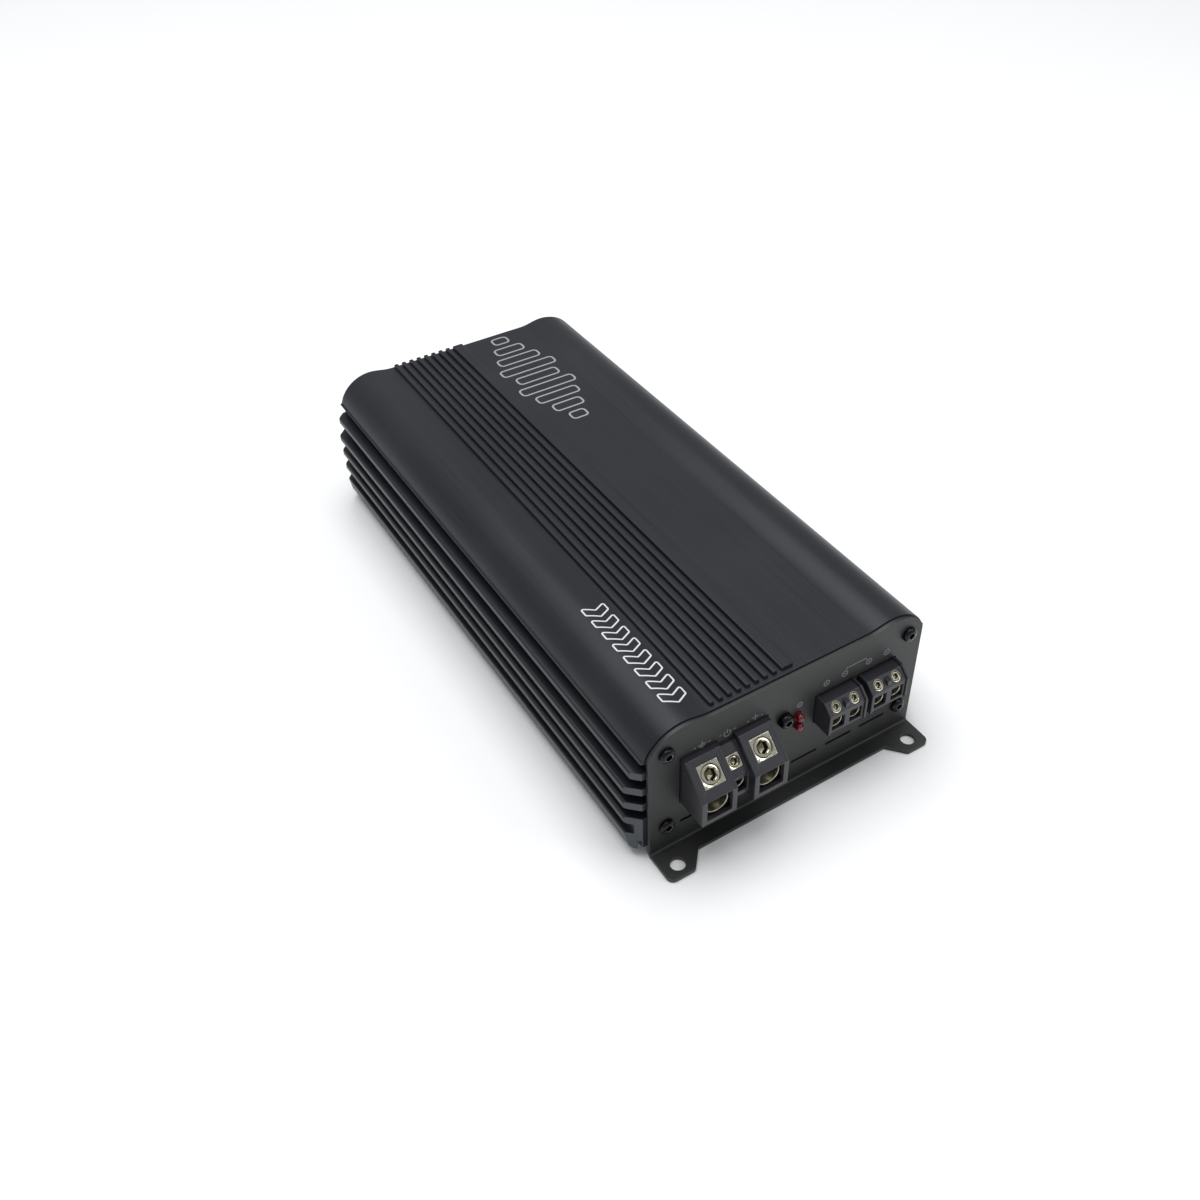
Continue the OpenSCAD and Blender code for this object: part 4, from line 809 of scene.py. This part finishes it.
for node, x in (("ground_clamp", GROUND_X), ("positive_clamp", PLUS_X)):
    made = wire_clamp(x, WIRE_Z, (9.2, 8.6), bore=3.9, nose=-10.5, tail=3.5, seat=POWER_SEAT,
                      outline=rounded_square(7.9, 0.25), hole=3.4, deep=6.5, reach=9.7)
    piece(node + "_plated", *made, [node], panel=front, record_slot="nickel_brass")
made = wire_clamp(REMOTE_X, WIRE_Z, (5.2, 5.8), bore=2.1, nose=-7.5, tail=3.5, seat=REMOTE_SEAT,
                  outline=rounded_square(4.8, 0.25), hole=1.95, deep=5.0, reach=8.7)
piece("remote_clamp_plated", *made, ["remote_clamp"], panel=front, record_slot="nickel_brass")
shells, kinds = [], []
for x in SPEAKER_X:
    made = wire_clamp(x, SPK_WIRE_Z, (5.2, 4.9), bore=2.1, nose=-6.1, tail=3.0, seat=SPK_SEAT,
                      outline=round_hole(0, 0, 2.3), hole=1.65, deep=4.0, reach=7.4, below=0.3)
    shells, kinds = shells + made[0], kinds + made[1]
piece("speaker_clamps_plated", shells, kinds, ["speaker_clamps"], panel=front, record_slot="nickel_brass")


def grub_screw(x, seat, r, length, sink=0.3):
    """A clamping screw as two shells: a threaded cup with a chamfered top, and its socket's lining.

    The thread is a wave of 0.6 mm pitch and 0.1 mm depth; the socket is a hexagon tube
    with a coned floor. The screw's top is sunk by sink.
    """
    s = r * 0.56  # half the socket's flats
    t = np.linspace(0, 1, 41)
    side = np.c_[r - 0.1 + 0.05 * np.cos(2 * np.pi * t * length / 0.6), -0.45 - t * (length - 1.1)]
    cup = np.vstack([[(0, -r * 1.3), (s + 0.05, -r * 1.2), (s + 0.05, -0.3), (s + 0.2, -0.1), (s + 0.35, 0),
                      (r - 0.45, 0), (r - 0.3, -0.06)], side, [(r - 0.5, -length), (0, -length)]])
    # The socket's lining takes the darker, browner plating: painted shade down in the socket.
    lining = np.array([(0, -r * 1.25), (s * 0.5, -r * 1.15), (s - 0.03, -r * 0.95), (s, -0.35),
                       (s + 0.06, -0.3), (s + 0.12, -0.35), (s + 0.12, -r * 1.35), (0, -r * 1.35)])
    place = on_slope(x, *seat)
    return [turned(cup + [0, -sink], place, 60, np.r_[0, 1, 1, 1, 0.5, np.zeros(len(cup) - 5)]),
            turned(lining + [0, -sink], place, 60, [0, 0.5, 1, 1, 1, 1, 1, 0])]


# Each clamping screw: its place across the panel, its seat, its radius and its length
CLAMPING = {"ground_screw": (GROUND_X, POWER_SEAT, 3.35, 4.4),
            "positive_screw": (PLUS_X, POWER_SEAT, 3.35, 4.4),
            "remote_screw": (REMOTE_X, REMOTE_SEAT, 1.9, 4.4)}
CLAMPING |= {f"speaker_screw_{i + 1}": (x, SPK_SEAT, 1.6, 3.6) for i, x in enumerate(SPEAKER_X)}
for name, sizes in CLAMPING.items():
    piece(name + "_plated", grub_screw(*sizes), [nickel_brass, socket_plating_painted_shade], [name], name, panel=front,
          record_slot="nickel_brass")

# ---- indicators and print

for node, z in zip(("power_led", "protect_led"), LED_Z):
    dome = arc(0, 1.3, 1.5, 90, 0, 10)
    profile = np.vstack([dome, [(1.5, -1.6), (1.85, -1.6), (1.85, -2.7), (1.5, -2.7), (1.5, -3.0),
                                (0, -3.0)]])
    piece(node + "_lens", [turned(profile, outward(LED_X, z), 40)], red_epoxy, [node], panel=front,
          record_slot="led_red")


FILM = 0.04  # half the thickness of the ink
PRINT, FINE_PRINT = 0.32, 0.28  # widths of its lines at the front and at the rear


def stroke(points, width, place, closed=False):
    """A printed line: each point goes half the width to both sides along its mitre, as a thin film."""
    p = np.asarray(points, float)
    if closed:
        a, b = drawn_in(p, -width / 2), drawn_in(p, width / 2)
    else:
        e = np.diff(p, axis=0)
        e /= np.linalg.norm(e, axis=1)[:, None]
        n = np.c_[-e[:, 1], e[:, 0]]
        mitre = (n[1:] + n[:-1]) / np.maximum(1 + (n[1:] * n[:-1]).sum(1), 0.35)[:, None]
        m = np.vstack([n[:1], mitre, n[-1:]])
        a, b = p - m * width / 2, p + m * width / 2
    corners = np.stack([a, b, b, a], 1)
    height = np.broadcast_to([FILM, FILM, -FILM, -FILM], corners.shape[:2])
    q = place(corners[..., 0], corners[..., 1], height)
    if closed:
        return grid(np.concatenate([q, q[:1]]))
    v, f = grid(q)
    return v, f + [[0, 1, 2, 3], list(range(len(v) - 4, len(v)))]


# Ground sign over the left pole, a switch-on sign over the thin pole, a plus over the right pole
gx, rx, px = GROUND_X + 1.2, REMOTE_X + 0.8, PLUS_X + 1.5
lines = [[(gx, 45.2), (gx, 43.6)]]
lines += [[(gx - w, z), (gx + w, z)] for w, z in ((1.6, 43.6), (1.05, 42.9), (0.5, 42.2))]
lines += [arc(rx, 42.9, 1.3, 125, 415, 18), [(rx, 43.0), (rx, 44.7)]]
lines += [[(px - 1.4, 43.9), (px + 1.4, 43.9)], [(px, 42.5), (px, 45.3)]]
lines += [[(x + a, 43.4), (x + b, 43.4)] for x in (gx, rx, px) for a, b in ((-3.2, -2.3), (2.3, 3.2))]
# A lamp sign over the indicators: a ring and a stroke
rings = [arc(LED_X + 0.5, 38.9, 0.95, 0, 360, 20)[:-1]]
lines += [[(LED_X + 0.5, 38.5), (LED_X + 0.5, 39.3)]]
# Ringed plus and minus signs over the speaker poles, under a bracket
for i, x in enumerate(SPEAKER_X):
    z = 42.9 + 0.15 * i
    rings.append(arc(x - 0.3, z, 1.15, 0, 360, 24)[:-1])
    lines.append([(x - 0.85, z), (x + 0.25, z)])
    if i % 2 == 0:
        lines.append([(x - 0.3, z - 0.55), (x - 0.3, z + 0.55)])
lines.append([(22.1, 44.6), (22.1, 45.4), (30.5, 45.4), (30.5, 44.6)])
on_panel = outward(0, 0)
marks = [stroke(q, PRINT, on_panel) for q in lines] + [stroke(q, PRINT, on_panel, True) for q in rings]
piece("panel_marks", marks, grey_ink, panel=front, record_slot="sheet_black")


def on_top(u, v, t):
    """Shapes that lie on the case's top, at the height of its section there.

    That is the flat, then rise's half cosine, then the shoulder's circle.
    """
    x = np.abs(u)
    swell = (SHOULDER_Z - FLAT_Z) * (1 - np.cos(np.pi * (x - CREASE_X) / (SHOULDER_X - CREASE_X))) / 2
    z = FLAT_Z + np.where(x < CREASE_X, 0, np.where(x > SHOULDER_X, SHOULDER_Z - FLAT_Z, swell))
    over = np.maximum(x - SHOULDER_X, 0)
    return np.stack([u, v, z - SHOULDER_R + np.sqrt(SHOULDER_R ** 2 - over ** 2) + t], -1)


def resampled(loop, step):
    """A closed loop as evenly spaced points, about step apart."""
    q = np.vstack([loop, loop[:1]])
    s = np.r_[0, np.cumsum(np.linalg.norm(np.diff(q, axis=0), axis=1))]
    at = np.linspace(0, s[-1], int(s[-1] / step) + 1)[:-1]
    return np.c_[np.interp(at, s, q[:, 0]), np.interp(at, s, q[:, 1])]


# A row of outlined chevrons at the front of the top, and outlined level bars at its rear
chevron = np.array([(-4.3, 2.6), (0, 0), (4.3, 2.6), (4.3, 6.2), (0, 3.6), (-4.3, 6.2)])
chevrons = [filleted(chevron + [-38.0, y], 0.5, 4) for y in -111.5 + 6.6 * np.arange(8)]
piece("front_ornament", [stroke(resampled(q, 0.3), 0.55, on_top, True) for q in chevrons], white_ink,
      record_slot="case_anodised")
levels = [rounded(17.5 - h / 2, 17.5 + h / 2, y, y + 5.0, 1.6, 6)
          for h, y in zip((7, 13, 19, 25, 19, 25, 19, 13, 7), 42 + 8.6 * np.arange(9))]
piece("rear_ornament", [stroke(resampled(q, 0.3), 0.8, on_top, True) for q in levels], pale_ink,
      record_slot="case_anodised")

# ---- rear controls

shells = [slab([rounded(-44.5, -17.5, BOARD_TOP, 34.5, 0.6)], 1.7, 11, 0.3, along_y)]
for x in JACK_X:
    shells.append(turned([(3.9, -3), (3.9, 0.8), (5.3, 0.8), (5.55, 0.55), (5.55, -3), (3.9, -3)],
                         outward(x, CONTROL_Z), 56))
piece("jack_base", shells, nylon, ["jack_housing"], panel=rear, record_slot="terminal_black")
# Four shallow waves round the sleeve, where it is gripped
ring = np.linspace(0, 1, 15)
knurl = np.c_[4.15 - 0.12 * (1 - np.cos(2 * np.pi * ring * 4)) / 2, 6.4 - ring * 3]
sleeve = np.vstack([[(3.5, -7), (3.5, 8.7), (3.62, 8.9), (3.95, 9.0), (4.08, 8.9), (4.15, 8.7), (4.15, 6.5)],
                    knurl, [(4.15, 3.3), (4.15, 0.8), (3.9, 0.8), (3.9, -7), (3.5, -7)]])
piece("jack_sleeves_plated", [turned(sleeve, outward(x, CONTROL_Z), 56) for x in JACK_X], nickel,
      ["jack_sleeves"], panel=rear, record_slot="nickel_sleeve")
liner = [(1.9, -7), (1.9, 7.9), (2.1, 8.15), (3.2, 8.2), (3.45, 8.0), (3.45, -7), (1.9, -7)]
piece("jack_insulators_moulded", [turned(liner, outward(x, CONTROL_Z)) for x in JACK_X],
      [red_acetal, acetal], ["jack_insulators"], panel=rear, record_slot="insulator_plastic")

# The port: a square tube with a notch for the plug's latch, its closed end and its foot
shells = [slab([rounded(PORT[0], PORT[1], 21.5, 34.5, 0.5),
                filleted([(PORT[0] + 1.6, 23.8), (-8.5, 23.8), (-8.5, 22.2), (-2.5, 22.2), (-2.5, 23.8),
                          (PORT[1] - 1.6, 23.8), (PORT[1] - 1.6, 32.2), (PORT[0] + 1.6, 32.2)], 0.25, 2)],
               -0.4, 14, 0.25, along_y, steps=2),
          slab([rounded(PORT[0], PORT[1], 21.5, 34.5, 0.5)], 14, 16, 0.2, along_y),
          slab([rounded(PORT[0], PORT[1], BOARD_TOP, 22.5, 0.3)], 1.8, 16, 0.2, along_y)]
piece("remote_socket", shells, nylon, ["remote_port"], panel=rear, record_slot="terminal_black")


def knob_cap(x):
    """A shaft end with a knurled rim: the radius waves 18 times round and fades to the front edge."""
    t = np.linspace(0, 2 * np.pi, 144, endpoint=False)
    profile = np.array([(0, 2.2), (0.9, 2.2), (1.0, 2.95), (2.4, 3.0), (2.6, 2.92), (2.9, 2.7), (3.0, 2.4),
                        (3.0, -3.2), (1.5, -3.2), (1.5, -7.5), (0, -7.5)])
    grip = np.array([0, 0, 0, 0, 0, 0.3, 1, 1, 0, 0, 0])
    r = profile[:, :1] - 0.11 * grip[:, None] * (1 + np.cos(18 * t)) / 2
    place = outward(x, CONTROL_Z)
    return grid(place(r * np.cos(t), r * np.sin(t), np.broadcast_to(profile[:, 1:], r.shape)))


for name, x in zip(("level_knob", "low_pass_knob", "subsonic_knob", "bass_boost_knob"), KNOB_X):
    hand = rounded(x - 0.3, x + 0.3, CONTROL_Z + 1.1, CONTROL_Z + 2.6, 0.12, 2)
    pointer = slab([hand], -3.0, -2.8, 0.04, along_y, steps=1)
    piece(name + "_cap", [knob_cap(x), pointer], [abs_black, white_ink], [name], name, panel=rear,
          record_slot="knob_black")

# The slider: its stem, four grip lines across its end and its tongue behind the panel
slider = [slab([rounded(5.0, 8.0, 26.5, 29.5, 0.35)], -2, 4.9, 0.25, along_y)]
slider += [slab([rounded(x, x + 0.3, 26.7, 29.3, 0.1, 2)], -2.0, -1.6, 0.05, along_y, steps=1)
           for x in 5.35 + 0.62 * np.arange(4)]
slider.append(slab([rounded(3.5, 8.0, 26.3, 29.7, 0.2)], 2.4, 5.2, 0.15, along_y))
piece("switch_grip", slider, abs_black, ["switch_slider"], "switch_slider", panel=rear,
      record_slot="knob_black")

# A scale round each knob with a line over it, a bracket over the jacks and a line over the switch
lines = []
for x in KNOB_X:
    for a in np.linspace(-240, 60, 11):
        way = np.array([math.cos(math.radians(a)), math.sin(math.radians(a))])
        lines.append([(x, CONTROL_Z) + r * way for r in (3.75, 4.1)])
    lines.append([(x - 2.6, 35.2), (x + 2.6, 35.2)])
lines += [[(-44, 36.8), (-44, 37.6), (-18, 37.6), (-18, 36.8)], [(4.6, 31.2), (11.4, 31.2)]]
piece("rear_marks", [stroke(q, FINE_PRINT, on_panel) for q in lines], grey_ink, panel=rear,
      record_slot="sheet_black")

# ---- finishes of the CAD nodes that stay

STAYS = [
    (tin, ["led_leads", "power_terminal_tails", "speaker_terminal_tails"]),
    (gold, ["jack_contacts", "remote_port_contacts"]),
    (zinc, ["anchor_bracket", "clamp_bar_left", "clamp_bar_right", "clamp_bar_screws", "switch_body"]),
    (solder_mask, ["main_board", "driver_board"]),
    (enamelled, ["transformer_winding", "inductor_windings"]),
    (ferrite, ["transformer_core"]),
    (iron_powder, ["inductor_cores"]),
    (sleeve_film, ["storage_capacitors", "input_capacitors"]),
    (epoxy, ["transistors_left", "transistors_right", "driver_chips"]),
    (thermal_cloth, ["insulator_left", "insulator_right"]),
    (pot_nylon, ["control_pots"]),
]
for kind, names in STAYS:
    for name in names:
        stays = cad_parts[name].data
        stays.materials.clear()
        stays.materials.append(kind)

# ---- floor, light and camera

FLOOR_REACH, FLOOR_Z = 14.0, -0.0001  # metres, as is all that follows
floor_mesh = bpy.data.meshes.new("floor")
floor_corners = box2(-FLOOR_REACH, FLOOR_REACH, -FLOOR_REACH, FLOOR_REACH)
floor_mesh.from_pydata(np.c_[floor_corners, [FLOOR_Z] * 4].tolist(), [], [(0, 1, 2, 3)])
floor = bpy.data.objects.new("floor", floor_mesh)
bpy.context.scene.collection.objects.link(floor)
# Painted board, matt and pale, with a barely uneven tone.
floor_mesh.materials.append(finish("pale_floor", "#f2f2f2", "#f4f4f4", 400, 0.5, (0.7, 0.8), 0.0))
floor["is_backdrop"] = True


def lamp(name, place, aim, size, power):
    """A square soft light at place, turned to face aim, sizes in metres and power in watts."""
    data = bpy.data.lights.new(name, "AREA")
    data.shape, data.size, data.energy = "SQUARE", size, power
    obj = bpy.data.objects.new(name, data)
    obj.location = place
    obj.rotation_euler = (Vector(aim) - Vector(place)).to_track_quat("-Z", "Y").to_euler()
    bpy.context.scene.collection.objects.link(obj)


lamp("overhead_softbox", (-0.05, 0.3, 1.7), (0, 0.05, 0), 1.5, 28)
lamp("front_softbox", (0.85, -0.85, 1.0), (0, -0.1, 0.03), 0.5, 2.6)

scene = bpy.context.scene
scene.view_settings.view_transform = "Standard"
scene.world = bpy.data.worlds.new("light_tent")
scene.world.use_nodes = True
tent = scene.world.node_tree.nodes["Background"]
tent.inputs["Color"].default_value = (0.93, 0.96, 1.0, 1.0)
tent.inputs["Strength"].default_value = 0.46

# The camera looks along azimuth az, down by el, and is rolled about that line
eye = Vector((-0.1854, -0.3279, 0.3345))
az, el, roll = math.radians(32.11), math.radians(40.98), math.radians(-0.77)
ahead = Vector((math.sin(az) * math.cos(el), math.cos(az) * math.cos(el), -math.sin(el)))
right = Vector((math.cos(az), -math.sin(az), 0))
up = right.cross(ahead)
right_r = right * math.cos(roll) + up * math.sin(roll)
up_r = -right * math.sin(roll) + up * math.cos(roll)
lens = bpy.data.cameras.new("camera")
lens.sensor_width, lens.lens = 36.0, 37.15
lens.shift_x, lens.shift_y = -0.0377, -0.0192
camera = bpy.data.objects.new("camera", lens)
camera.matrix_world = Matrix((
    (right_r.x, up_r.x, -ahead.x, eye.x), (right_r.y, up_r.y, -ahead.y, eye.y),
    (right_r.z, up_r.z, -ahead.z, eye.z), (0, 0, 0, 1)))
scene.collection.objects.link(camera)
scene.camera = camera

boxes = {"cad": cad_box, "visual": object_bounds()}
{name: [list(map(float, corner)) for corner in box] for name, box in boxes.items()}
